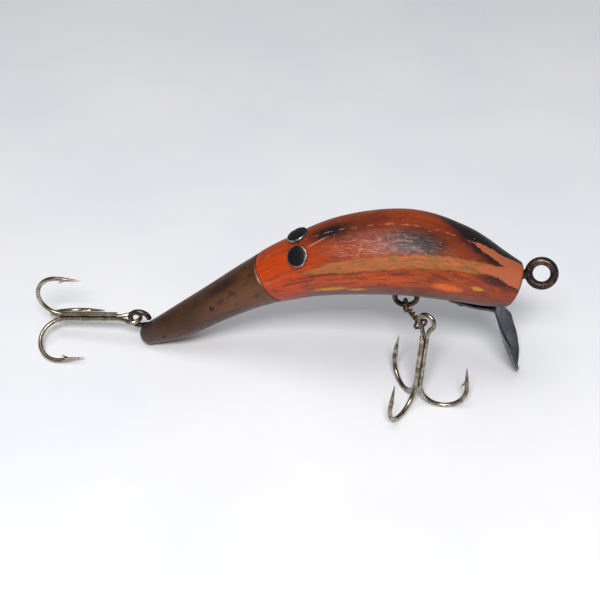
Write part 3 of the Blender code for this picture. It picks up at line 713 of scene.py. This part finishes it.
def copper_finish():
    made, tree, shader, _ = new_finish("brown_copper", 0.4, 0.55)
    skin = Skin(tree)
    tone = effect(tree, BLOTCHES, skin.place, scale=0.12, start=0.35, end=0.65)
    colour = blend(tree, tone, COPPER, DARK_COPPER)
    colour = tint(tree, colour, WARM_COPPER, skin.oval((24.0, 150.0), (7.0, 60.0), 0.6, 0.5, 0.3))
    islands = effect(tree, BLOTCHES, skin.place, scale=0.34, start=0.56, end=0.66)
    colour = tint(tree, colour, ISLAND_BROWN, islands, 0.7)
    colour = tint(tree, colour, STAIN, skin.oval((21.0, 112.0), (3.6, 14.0), 0.4, 0.8, 0.5), 0.8)
    colour = tint(tree, colour, LOW_STAIN, skin.oval((15.0, 196.0), (9.0, 13.0), 0.4, 0.9, 0.4), 0.7)
    specks = effect(tree, PITS, skin.place, scale=1.3, size=0.3, share=0.45)
    low = either(tree, *[skin.oval((12.0, turn), (7.0, 12.0), 0.3, 0.6, 0.6) for turn in (202.0, -22.0)])
    colour = tint(tree, colour, BRASSY_SPECK, specks, low, 0.8)
    tip = remap(tree, skin.ragged(skin.x, 5.0, 0.4), 5.5, 0.5)
    colour = tint(tree, colour, GREY_TIP, tip, 0.6)
    # Grey lower edges: partly rubbed metal, partly a painted highlight where the sheet's edge catches the
    # light.
    edge_wear_and_highlight = either(tree, remap(tree, skin.turn, 223.0, 227.0), remap(tree, skin.turn, -43.0, -47.0))
    colour = tint(tree, colour, GREY_EDGE, edge_wear_and_highlight, 0.8)
    fine = effect(tree, STREAKS, skin.place, scale=2.2, stretch=0.08, cut=0.62)
    colour = tint(tree, colour, RUBBED_COPPER, fine, 0.4)
    roughness = remap(tree, skin.noise(0.5), 0.3, 0.7, 0.3, 0.55)
    height = calc(tree, "ADD", skin.noise(0.7, 8.0), calc(tree, "MULTIPLY", islands, 0.4))
    wire_up(tree, shader, colour, roughness, None, height, 0.35, 0.0001)
    return made


sheath_stations = [tip_station(share, shift) for share, shift in SHEATH_TIP]
sheath_stations += [sheath_station(part) for part in np.linspace(0, 1, 48)]
open_angles = np.radians(np.linspace(BELLY_DEG + SHEATH_OPEN_DEG, 270 - SHEATH_OPEN_DEG, 110))
sheath_data = skin_loft("copper_sheath", sheath_stations, list(open_angles), False, False)
brown_copper = copper_finish()
copper_sheath = finish_piece("copper_sheath", sheath_data, brown_copper, "lure_body", "tail_sheath")
shell = copper_sheath.modifiers.new("sheet", "SOLIDIFY")
shell.thickness = SHEET * MM
shell.offset = 1.0
print("sheath", len(sheath_data.polygons), "faces")


# %% [markdown]
# Small metal parts share one kind of finish: a base metal, a darker tarnish in islands, and specks of rust.
# The same function makes each of them with its own colours and amounts.

# %% Metal finishes
def metal_finish(name, clean, tarnish, speck, roughness, metallic=1.0, cover=0.5, specks=0.4, scale=0.5):
    made, tree, shader, place = new_finish(name, roughness, metallic)
    islands = effect(tree, BLOTCHES, place, scale=scale, start=cover - 0.07, end=cover + 0.09)
    pits = effect(tree, PITS, place, scale=1.7, size=0.36, share=specks)
    colour = blend(tree, islands, tarnish, clean)
    colour = tint(tree, colour, speck, pits, 0.8)
    wear = calc(tree, "ADD", calc(tree, "MULTIPLY", islands, -0.12), calc(tree, "MULTIPLY", pits, 0.25))
    made_roughness = calc(tree, "ADD", wear, roughness + 0.06)
    shine = remap(tree, pits, 0.0, 1.0, metallic, metallic * 0.3)
    height = calc(tree, "SUBTRACT", islands, pits)
    wire_up(tree, shader, colour, made_roughness, shine, height, 0.3, 0.00006)
    return made


# Each row is the clean, tarnished and speck colours, then roughness, metal, cover, specks and scale.
METALS = {
    "dark_steel": (rgb(84, 84, 88), rgb(40, 38, 40), rgb(88, 50, 30), 0.42, 0.85, 0.52),
    "tarnished_lip": (rgb(74, 75, 82), rgb(50, 51, 58), rgb(36, 34, 33), 0.36, 0.9, 0.5, 0.2, 0.25),
    "dark_bronze": (rgb(92, 74, 66), rgb(46, 38, 38), rgb(112, 66, 34), 0.36, 0.9, 0.5, 0.3),
    "rusty_wire": (rgb(112, 82, 60), rgb(52, 34, 28), rgb(128, 66, 30), 0.6, 0.5, 0.5, 0.6, 1.2),
    "worn_nickel": (rgb(168, 158, 142), rgb(104, 94, 80), rgb(40, 32, 26), 0.26, 1.0, 0.5, 0.45, 0.6),
    "tail_nickel": (rgb(172, 162, 144), rgb(126, 114, 96), rgb(60, 48, 38), 0.26, 1.0, 0.46, 0.18, 0.5),
    "worn_rim": (rgb(170, 166, 160), rgb(96, 90, 86), rgb(40, 34, 30), 0.35, 1.0, 0.5, 0.3),
}
DARK_STEEL, LIP_STEEL, DARK_BRONZE, RUSTY_WIRE, WORN_NICKEL, TAIL_NICKEL, WORN_RIM = [
    metal_finish(name, *looks) for name, looks in METALS.items()
]


def enamel_finish():
    made, tree, shader, place = new_finish("black_enamel", 0.3, 0.0)
    dust = effect(tree, STREAKS, place, scale=1.6, stretch=0.4, cut=0.6)
    colour = tint(tree, rgb(7, 8, 12), rgb(60, 60, 64), dust, 0.18)
    roughness = remap(tree, dust, 0.0, 1.0, 0.3, 0.5)
    wire_up(tree, shader, colour, roughness, None, noise(tree, place, 0.8, 5.0), 0.3, 0.0001)
    return made


BLACK_ENAMEL = enamel_finish()


# %% [markdown]
# The fasteners are turned shapes: a half outline spun round its axis.
# The eyes are upholstery tacks, black enamel in a thin metal rim. Screws hold the strap and the lip, and
# brads the copper.

# %% Turned fasteners
def turned(name, profile, origin, axis, sides=48):
    """A half outline of (radius, height) rows spun round axis, with its foot at origin."""
    mesh = bmesh.new()
    points = [mesh.verts.new((radius * MM, 0, height * MM)) for radius, height in profile]
    edges = [mesh.edges.new(pair) for pair in zip(points, points[1:])]
    spin = {"cent": (0, 0, 0), "axis": (0, 0, 1), "angle": 2 * math.pi, "steps": sides, "use_merge": True}
    bmesh.ops.spin(mesh, geom=points + edges, **spin)
    bmesh.ops.remove_doubles(mesh, verts=mesh.verts, dist=WELD / 5)
    bmesh.ops.recalc_face_normals(mesh, faces=mesh.faces)
    turn = Vector((0, 0, 1)).rotation_difference(Vector(axis)).to_matrix().to_4x4()
    bmesh.ops.transform(mesh, matrix=LURE @ Matrix.Translation(Vector(origin) * MM) @ turn, verts=mesh.verts)
    data = to_data(name, mesh)
    data.set_sharp_from_angle(angle=CREASE)
    return data


def surface_seat(x, angle_deg, lift):
    """A point above the body's surface, and the way out there."""
    angle = math.radians(angle_deg)
    centre, radius, along = spine_at(x)
    up = Vector((-along.z, 0, along.x))
    out = Vector((0, math.cos(angle), 0)) + up * math.sin(angle)
    return centre + out * (radius + lift), out


TACK_X, TACK_RADIUS, TACK_HEIGHT = 38.3, 2.4, 0.75
TACK_ANGLES_DEG = (("left", 82.0), ("right", 124.0))
PIN_RADIUS, PIN_LENGTH = 0.4, 4.0
RIM_SHARE = 0.9  # the rim takes the outer tenth of the tack
TACK_SIDE = ((0.95, 0.0), (0.99, 0.06), (1.0, 0.2), (0.985, 0.42), (0.95, 0.56))
DOME_FOOT = 0.54
QUARTER = np.linspace(0, math.pi / 2, 12)


def tack_profile():
    rim = TACK_RADIUS * RIM_SHARE
    pin = [(0, -PIN_LENGTH), (PIN_RADIUS, -PIN_LENGTH + PIN_RADIUS), (PIN_RADIUS, 0)]
    side = [(TACK_RADIUS * share, height) for share, height in TACK_SIDE]
    side += [(rim, 0.6), (rim * 0.985, 0.55)]
    rise = TACK_HEIGHT - DOME_FOOT
    dome = [(rim * 0.96 * math.cos(a), DOME_FOOT + rise * math.sin(a)) for a in QUARTER]
    return pin + side + dome[:-1] + [(0, TACK_HEIGHT)]


for side, angle in TACK_ANGLES_DEG:
    seat, out = surface_seat(TACK_X, angle, GAP / 3)
    data = turned("eye_" + side, tack_profile(), seat, out, 64)
    finish_piece("eye_" + side, data, WORN_RIM, "lure_body", "eye_tack_" + side)
    data.materials.append(BLACK_ENAMEL)
    centre = LURE @ (seat * MM)
    outward = (LURE.to_3x3() @ out).normalized()
    for face in data.polygons:
        off = Vector(face.center) - centre
        height = off.dot(outward)
        if (off - outward * height).length < TACK_RADIUS * RIM_SHARE * MM and height > 0.3 * MM:
            face.material_index = 1  # the enamel dome inside the rim

BRAD_PLACES = ((17.2, 26.0), (4.2, 4.0))
BRAD_RADIUS, BRAD_HEIGHT, BRAD_PIN, BRAD_LENGTH = 0.55, 0.35, 0.3, 2.2
SCREW_RADIUS, SCREW_HEIGHT, SCREW_PIN, SCREW_LENGTH = 1.45, 1.15, 0.5, 4.5
SLOT_SIZE, SLOT_TURN = (0.34, 3.4, 1.0), 0.6


def dome_profile(radius, height, pin, length):
    dome = [(radius * math.cos(a), height * (0.2 + 0.8 * math.sin(a))) for a in QUARTER]
    return [(0, -length), (pin, -length + pin), (pin, 0), (radius * 0.97, 0)] + dome[:-1] + [(0, height)]


for end, (x, angle) in zip(("front", "rear"), BRAD_PLACES):
    for side, around in (("left", angle), ("right", 180 - angle)):
        seat, out = surface_seat(x, around, 0.0)
        name = f"brad_{end}_{side}"
        data = turned(name, dome_profile(BRAD_RADIUS, BRAD_HEIGHT, BRAD_PIN, BRAD_LENGTH), seat, out, 24)
        finish_piece(name, data, DARK_STEEL, "lure_body", f"tail_brad_{end}_{side}")


def belly_seat(x, below):
    """A point below the belly's flat at x, and the way down there."""
    centre, radius, along = spine_at(x)
    down = Vector((along.z, 0, -along.x))
    return centre + down * (radius * BELLY_FLAT + below), down


def cut_and_keep(piece, other, operation):
    """A Boolean with another mesh, applied to the piece."""
    helper = put("helper", other)
    change = piece.modifiers.new("change", "BOOLEAN")
    change.operation = operation
    change.object = helper
    change.solver = "EXACT"
    result = evaluated_mesh(piece)
    piece.modifiers.remove(change)
    result.name = piece.data.name
    piece.data = result
    bpy.data.objects.remove(helper, do_unlink=True)
    result.set_sharp_from_angle(angle=CREASE)


def slotted_screw(name, node, x, side, below):
    """A round-head screw from below, with a slot cut across its head."""
    seat, down = belly_seat(x, below)
    seat += Vector((0, side, 0))
    data = turned(name, dome_profile(SCREW_RADIUS, SCREW_HEIGHT, SCREW_PIN, SCREW_LENGTH), seat, down, 48)
    screw = finish_piece(name, data, DARK_STEEL, "lure_body", node)
    slot = bmesh.new()
    bmesh.ops.create_cube(slot, size=1.0)
    turn = Vector((0, 0, 1)).rotation_difference(down).to_matrix().to_4x4()
    size = Matrix.Diagonal((*[side * MM for side in SLOT_SIZE], 1.0))
    top = Matrix.Translation((seat + down * (SCREW_HEIGHT + 0.02)) * MM)
    place = LURE @ top @ turn @ Matrix.Rotation(SLOT_TURN, 4, "Z") @ size
    bmesh.ops.transform(slot, matrix=place, verts=slot.verts)
    cutter_data = bpy.data.meshes.new("slot_cutter")
    slot.to_mesh(cutter_data)
    slot.free()
    cut_and_keep(screw, cutter_data, "DIFFERENCE")


LIP_SHEET, LIP_SCREW_X, LIP_SCREW_SIDE, STRAP_SCREW_X = 0.6, 73.9, 1.9, 51.0
slotted_screw("strap_round_screw", "strap_screw", STRAP_SCREW_X, 0.0, GAP + SHEET + 0.05)
for side, across in (("left", LIP_SCREW_SIDE), ("right", -LIP_SCREW_SIDE)):
    slotted_screw("lip_round_screw_" + side, "lip_screw_" + side, LIP_SCREW_X, across, GAP + LIP_SHEET + 0.05)
print("fasteners done")


# %% [markdown]
# A steel strap runs along the belly, and the lip is a bent and dished blade below the nose.
# Both are lofts with a small bevel, as stamped sheet has. The lip is a grid of points with thickness.

# %% Strap and lip
STRAP_ENDS_X, STRAP_WIDTH = (31.0, 53.5), 4.2
LIP_TAB_START_X, LIP_TAB_END_X = 70.0, 78.4
LIP_TIP = (84.6, 1.0)
LIP_WIDTHS = (
    (0.0, 2.6), (0.06, 3.5), (0.3, 3.6), (0.42, 3.0), (0.62, 4.9), (0.82, 4.6), (0.94, 3.0), (1.0, 0.7)
)
LIP_DISH, LIP_RINGS, LIP_COLUMNS = 1.9, 90, 33
LIP_WIDEST = 4.9


def bevelled(piece, width):
    edge = piece.modifiers.new("edge", "BEVEL")
    edge.width = width * MM
    edge.segments = 2
    edge.limit_method = "ANGLE"
    edge.angle_limit = CREASE


def strap_rings():
    rings = []
    half = STRAP_WIDTH / 2
    for x in np.linspace(*STRAP_ENDS_X, 80):
        upper, down = belly_seat(x, GAP)
        inside = min(x - STRAP_ENDS_X[0], STRAP_ENDS_X[1] - x, half)
        wide = half * (0.55 + 0.45 * math.sqrt(1 - (1 - inside / half) ** 2))
        rings.append([upper + Vector((0, across * wide, 0)) + down * depth for across, depth in
                      ((-1, 0), (0, 0), (1, 0), (1, SHEET), (0, SHEET), (-1, SHEET))])
    return rings


strap_data = loft("steel_strap", strap_rings(), LURE)
strap_data.set_sharp_from_angle(angle=CREASE)
strap = finish_piece("steel_strap", strap_data, DARK_STEEL, "lure_body", "belly_strap")
bevelled(strap, 0.08)


def lip_path():
    """The middle of the lip: a tab along the belly, a turn down, and a slightly hollow blade."""
    tab = np.linspace(LIP_TAB_START_X, LIP_TAB_END_X, 8)
    points = [belly_seat(x, GAP + LIP_SHEET / 2)[0] for x in tab]
    end, tip = points[-1], Vector((LIP_TIP[0], 0, LIP_TIP[1]))
    turn = end + Vector((1.9, 0, -1.1))
    points += [end + Vector((1.1, 0, -0.35)), turn]
    for part in np.linspace(0.12, 1.0, 13):
        points.append(turn.lerp(tip, part) + Vector((math.sin(math.pi * part) * -0.7, 0, 0)))
    return points


def lip_rings():
    middle = [Vector(p) for p in smooth(lip_path(), LIP_RINGS)]
    lengths = np.concatenate([[0.0], np.cumsum([(b - a).length for a, b in zip(middle, middle[1:])])])
    shares = lengths / lengths[-1]
    rows = smooth(LIP_WIDTHS, 200)
    straight = np.interp(shares, *np.array(LIP_WIDTHS).T)
    widths = np.minimum(np.interp(shares, rows[:, 0], rows[:, 1]), straight + 0.12)
    rings = []
    for i, point in enumerate(middle):
        along = (middle[min(i + 1, LIP_RINGS - 1)] - middle[max(i - 1, 0)]).normalized()
        inward = Vector((-along.z, 0, along.x))
        dish = LIP_DISH * min(1.0, max(0.0, (shares[i] - 0.38) / 0.25))
        half = widths[i]
        rings.append([point + Vector((0, across * half, 0)) + inward * dish * across**2 * half / LIP_WIDEST
                      for across in np.linspace(-1, 1, LIP_COLUMNS)])
    return rings


lip_data = loft("diving_blade", lip_rings(), LURE, False, False)
lip = finish_piece("diving_blade", lip_data, LIP_STEEL, "lure_body", "diving_lip")
sheet = lip.modifiers.new("sheet", "SOLIDIFY")
sheet.thickness = LIP_SHEET * MM
sheet.offset = 0.0
bevelled(lip, 0.12)
print("strap and lip done")


# %% [markdown]
# Screw eyes are wire: a straight shank and then nearly a full circle, whose end stays a little open.

# %% Screw eyes
TIE_CENTRE, TIE_ROOT, TIE_RING, TIE_WIRE, TIE_TWIST_DEG = (87.0, 31.0), (75.0, 28.2), 2.7, 0.9, -30.0
BELLY_EYE_ROOT_Z = 31.5
TAIL_CENTRE, TAIL_ROOT, TAIL_RING, TAIL_WIRE = (-1.9, 8.0), (8.0, 8.0), 2.2, 0.6


def screw_eye(name, node, centre, root, ring, wire, twist_deg=0.0):
    hub, foot = Vector((centre[0], 0, centre[1])), Vector((root[0], 0, root[1]))
    up = (hub - foot).normalized()
    across = Matrix.Rotation(math.radians(twist_deg), 3, up) @ Vector((-up.z, 0, up.x))
    neck = hub - up * (ring + wire * 1.5)
    start = [foot, foot.lerp(neck, 0.5), neck, hub - up * (ring + wire * 0.5) + across * wire * 0.35]
    bend = smooth(start[1:] + arc(hub, across, up, ring, -68, -50, 3), 18)
    path = start[:2] + [Vector(p) for p in bend][1:-3]
    path += arc(hub, across, up, ring, -66, 276, 90)
    finish_piece(name, wire_mesh(name, path, wire, LURE, sides=6), DARK_BRONZE, "lure_body", node)


def tail_eye():
    foot, hub = Vector((TAIL_ROOT[0], 0, TAIL_ROOT[1])), Vector((TAIL_CENTRE[0], 0, TAIL_CENTRE[1]))
    ring = arc(hub, (1, 0, 0), (0, 0, 1), TAIL_RING, -62, -354, 90)
    path = [foot, foot.lerp(ring[0], 0.5), foot.lerp(ring[0], 0.82)] + ring
    data = wire_mesh("tail_ring", path, TAIL_WIRE, LURE, sides=6)
    finish_piece("tail_ring", data, DARK_BRONZE, "lure_body", "tail_screw_eye")


screw_eye("line_tie_ring", "line_tie_screw_eye", TIE_CENTRE, TIE_ROOT, TIE_RING, TIE_WIRE, TIE_TWIST_DEG)
belly_hub, belly_root = (BELLY_EYE_X, BELLY_EYE_Z), (BELLY_EYE_X, BELLY_EYE_ROOT_Z)
screw_eye("belly_ring", "belly_screw_eye", belly_hub, belly_root, BELLY_RING, BELLY_WIRE)
tail_eye()
print("screw eyes done")


# %% [markdown]
# A treble hook is two wires: one bent into two hooks with the eye between them, and a single hook brazed on.
# Each hook thins to a point. A chisel lifts a real barb, and here it is a slim cone joined on with a Boolean.

# %% Treble hooks
HOOK_WIRE, HOOK_BEND, HOOK_ARM, HOOK_SPLAY_DEG = 0.5, 5.1, 5.6, 7.0
HOOK_LENGTH, HOOK_EYE, SHANK_OFFSET = 23.4, 1.8, 0.66
POINT_RADIUS, POINT_TAPER = 0.07, 4.4
BARB_BACK, BARB_LENGTH, BARB_RISE, BARB_ROOT = 3.5, 2.2, 1.35, 0.5
BARB_RADII = [0.05, 0.3, 0.24, 0.02]
THIRD = math.radians(120)


def hook_path(radial, along, length):
    """A shank, a round bend and a straight arm, in the plane of radial and along."""
    splay = math.radians(HOOK_SPLAY_DEG)
    rows = [(SHANK_OFFSET, h) for h in np.linspace(length, HOOK_BEND + 0.5, 4)]
    for a in np.linspace(math.pi, 2 * math.pi + splay, 44):
        rows.append((SHANK_OFFSET + HOOK_BEND * (1 + math.cos(a)), HOOK_BEND * (1 + math.sin(a))))
    last = rows[-1]
    for reach in np.linspace(0, HOOK_ARM, 15)[1:]:
        rows.append((last[0] - math.sin(splay) * reach, last[1] + math.cos(splay) * reach))
    return [radial * r + along * h for r, h in rows]


def hook_radii(path):
    """The wire's radius at each point, which thins towards the hook's point."""
    radii, left = [], 0.0
    for i in range(len(path) - 1, -1, -1):
        left += (path[i + 1] - path[i]).length if i < len(path) - 1 else 0.0
        radii.append(POINT_RADIUS + (HOOK_WIRE - POINT_RADIUS) * min(1.0, left / POINT_TAPER) ** 0.8)
    return radii[::-1]


def barb_data(path, radial, place):
    """A slim cone that lifts off the inside of the hook, behind its point."""
    tip, back = path[-1], (path[-2] - path[-1]).normalized()
    root = tip + back * BARB_BACK
    end = root + back * BARB_LENGTH - radial * BARB_RISE
    along = (end - root).normalized()
    points = [root - along * BARB_ROOT, root, root.lerp(end, 0.4), end]
    return wire_mesh("barb", points, 0.3, place, BARB_RADII, 3)


def treble_hooks(prefix, place, base, along, single, body, finish):
    along, single, base = Vector(along).normalized(), Vector(single).normalized(), Vector(base)
    first, second = Matrix.Rotation(THIRD, 3, along) @ single, Matrix.Rotation(-THIRD, 3, along) @ single
    hub = along * (HOOK_LENGTH - HOOK_EYE) - single * SHANK_OFFSET / 2
    shank = HOOK_LENGTH - 2 * HOOK_EYE - 1.3
    one, two = hook_path(first, along, shank), hook_path(second, along, shank)
    loop = arc(hub, (first - second).normalized(), along, HOOK_EYE, -52, 232, 60)
    path = [base + p for p in one[::-1] + loop + two]
    radii = hook_radii(one)[::-1] + [HOOK_WIRE] * len(loop) + hook_radii(two)
    data = wire_mesh(prefix + "_double", path, HOOK_WIRE, place, radii, 5)
    double = finish_piece(prefix + "_double", data, finish, body, prefix + "_double_hook")
    for side, radial in ((one, first), (two, second)):
        cut_and_keep(double, barb_data([base + p for p in side], radial, place), "UNION")
    three = [base + p for p in hook_path(single, along, shank - 0.6)]
    data = wire_mesh(prefix + "_single", three, HOOK_WIRE, place, hook_radii(three), 5)
    lone = finish_piece(prefix + "_single", data, finish, body, prefix + "_single_hook")
    cut_and_keep(lone, barb_data(three, single, place), "UNION")


BELLY_TREBLE_BASE, BELLY_TREBLE_AXIS = (62.2, -14.6, 1.2), (0.055, 0.03, 0.998)
BELLY_SINGLE = math.radians(-120.0)
TAIL_TREBLE_AXIS, TAIL_EYE_SLACK = Vector((0.99, -0.05, 0.12)).normalized(), 0.62
single = Vector((math.cos(BELLY_SINGLE), math.sin(BELLY_SINGLE), 0))
at_stand, at_tail = Matrix.Translation(stand), Matrix.Translation(tail_pivot)
treble_hooks("belly", at_stand, BELLY_TREBLE_BASE, BELLY_TREBLE_AXIS, single, "belly_treble", WORN_NICKEL)
upright = (Vector((0, 0, 1)) - TAIL_TREBLE_AXIS * TAIL_TREBLE_AXIS.z).normalized()
tail_base = TAIL_TREBLE_AXIS * (TAIL_EYE_SLACK - HOOK_LENGTH + HOOK_EYE) + upright * SHANK_OFFSET / 2
treble_hooks("tail", at_tail, tail_base, TAIL_TREBLE_AXIS, upright, "tail_treble", TAIL_NICKEL)
print("hooks done")


# %% [markdown]
# The belly hook hangs on a doubled wire, twisted between a loop at each end. It is one path from end to end.

# %% The twisted link
LINK_WIRE, LINK_LOOP, LINK_STRAND, LINK_TURNS = 0.3, 1.35, 0.38, 2.0
LINK_SPREAD_DEG, LINK_GAP_DEG = 38.0, 16.0


def belly_link(bottom, ring_tangent, eye_tangent):
    top = Vector((0, 0, 0))
    down = (bottom - top).normalized()
    side_top = down.cross((ring_tangent - down * ring_tangent.dot(down)).normalized())
    side_bottom = down.cross((eye_tangent - down * eye_tangent.dot(down)).normalized())
    hub_top, hub_bottom = top + down * 0.2, bottom - down * 0.2
    first, last = LINK_SPREAD_DEG - 90, 270 - LINK_SPREAD_DEG
    loop_top = arc(hub_top, side_top, -down, LINK_LOOP, first, last - LINK_GAP_DEG, 44)
    loop_bottom = arc(hub_bottom, side_bottom, down, LINK_LOOP, first, last, 44)
    start, end = hub_top + down * (LINK_LOOP + 0.55), hub_bottom - down * (LINK_LOOP + 0.55)
    other = down.cross(side_top)
    total = math.atan2(side_bottom.dot(other), side_bottom.dot(side_top)) + 2 * math.pi * LINK_TURNS
    strands = []
    for phase in (0.0, math.pi):
        strand = []
        for turn in [phase + total * part for part in np.linspace(0, 1, 70)]:
            out = (side_top * math.cos(turn) + other * math.sin(turn)) * LINK_STRAND
            strand.append(start.lerp(end, (turn - phase) / total) + out)
        strands.append(strand)
    path = loop_top[::-1] + strands[0] + loop_bottom + strands[1][::-1]
    data = wire_mesh("twisted_link", path, LINK_WIRE, Matrix.Translation(link_pivot), sides=5)
    finish_piece("twisted_link", data, RUSTY_WIRE, "belly_link", "belly_link")


belly_tangent = Vector(joints["belly_treble_swing"]["axis"])
belly_link((treble_pivot - link_pivot) / MM, Vector((1, 0, 0)), belly_tangent)


# %% [markdown]
# Every new piece should fill the same box as the CAD node that it stands for. This prints the largest misfit.

# %% Check the pieces against the frame
bpy.context.view_layer.update()
depsgraph = bpy.context.evaluated_depsgraph_get()
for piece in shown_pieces():
    names = piece.get("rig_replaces")
    if not names:
        continue
    name = list(names)[0]
    shape = piece.evaluated_get(depsgraph)
    spots = np.array([shape.matrix_world @ v.co for v in shape.data.vertices])
    low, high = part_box(name)
    misfit = max(np.abs(spots.min(0) - np.array(low)).max(), np.abs(spots.max(0) - np.array(high)).max())
    print(f"{piece.name}: {misfit / MM:.2f} mm from {name}")


# %% [markdown]
# The set is a pale floor under soft studio light. The key lamp stands in front and above, a larger one hangs
# overhead, and the pale world fills in the rest.

# %% Floor, light and camera
FLOOR_HALF = 3.0


def floor_finish():
    made, tree, shader, place = new_finish("pale_paper", 0.45, 0.0)
    tone = remap(tree, noise(tree, place, 0.02, 3.0), 0.35, 0.65)
    colour = blend(tree, tone, rgb(222, 224, 230), rgb(228, 229, 233))
    wire_up(tree, shader, colour, None, None, noise(tree, place, 1.5, 4.0), 0.05, 0.0001)
    return made


floor_data = bpy.data.meshes.new("floor")
corners = [(x * FLOOR_HALF, y * FLOOR_HALF, 0.0) for x, y in ((-1, -1), (1, -1), (1, 1), (-1, 1))]
floor_data.from_pydata(corners, [], [(0, 1, 2, 3)])
floor_data.materials.append(floor_finish())
floor = put("floor", floor_data)

world = bpy.data.worlds.new("studio")
world.use_nodes = True
backdrop = world.node_tree.nodes["Background"]
backdrop.inputs["Color"].default_value = rgb(232, 230, 230)
backdrop.inputs["Strength"].default_value = 0.2
bpy.context.scene.world = world


def area_lamp(name, place, target, size, watts, colour):
    lamp = bpy.data.lights.new(name, "AREA")
    lamp.shape = "RECTANGLE"
    lamp.size, lamp.size_y = size
    lamp.energy = watts
    lamp.color = colour
    made = put(name, lamp)
    made.location = place
    made.rotation_euler = (Vector(target) - Vector(place)).to_track_quat("-Z", "Y").to_euler()


area_lamp("key", (0.03, -0.43, 0.5), (0.0, 0.02, 0.0), (0.22, 0.12), 4.4, (1.0, 0.985, 0.965))
area_lamp("fill", (-0.1, -0.2, 0.9), (0.0, 0.0, 0.0), (0.6, 0.6), 3.4, (0.97, 0.985, 1.0))

CAMERA_PLACE, CAMERA_TURN_DEG, CAMERA_LENS = (61.35, -234.6, 200.1), (52.0, 0.0, 6.4), 80.0
camera_data = bpy.data.cameras.new("camera")
camera_data.lens = CAMERA_LENS
camera_data.clip_start = 0.01
camera = put("camera", camera_data)
camera.location = stand + Vector(CAMERA_PLACE) * MM
camera.rotation_euler = [math.radians(v) for v in CAMERA_TURN_DEG]
bpy.context.scene.camera = camera
bpy.context.scene.view_settings.view_transform = "Standard"
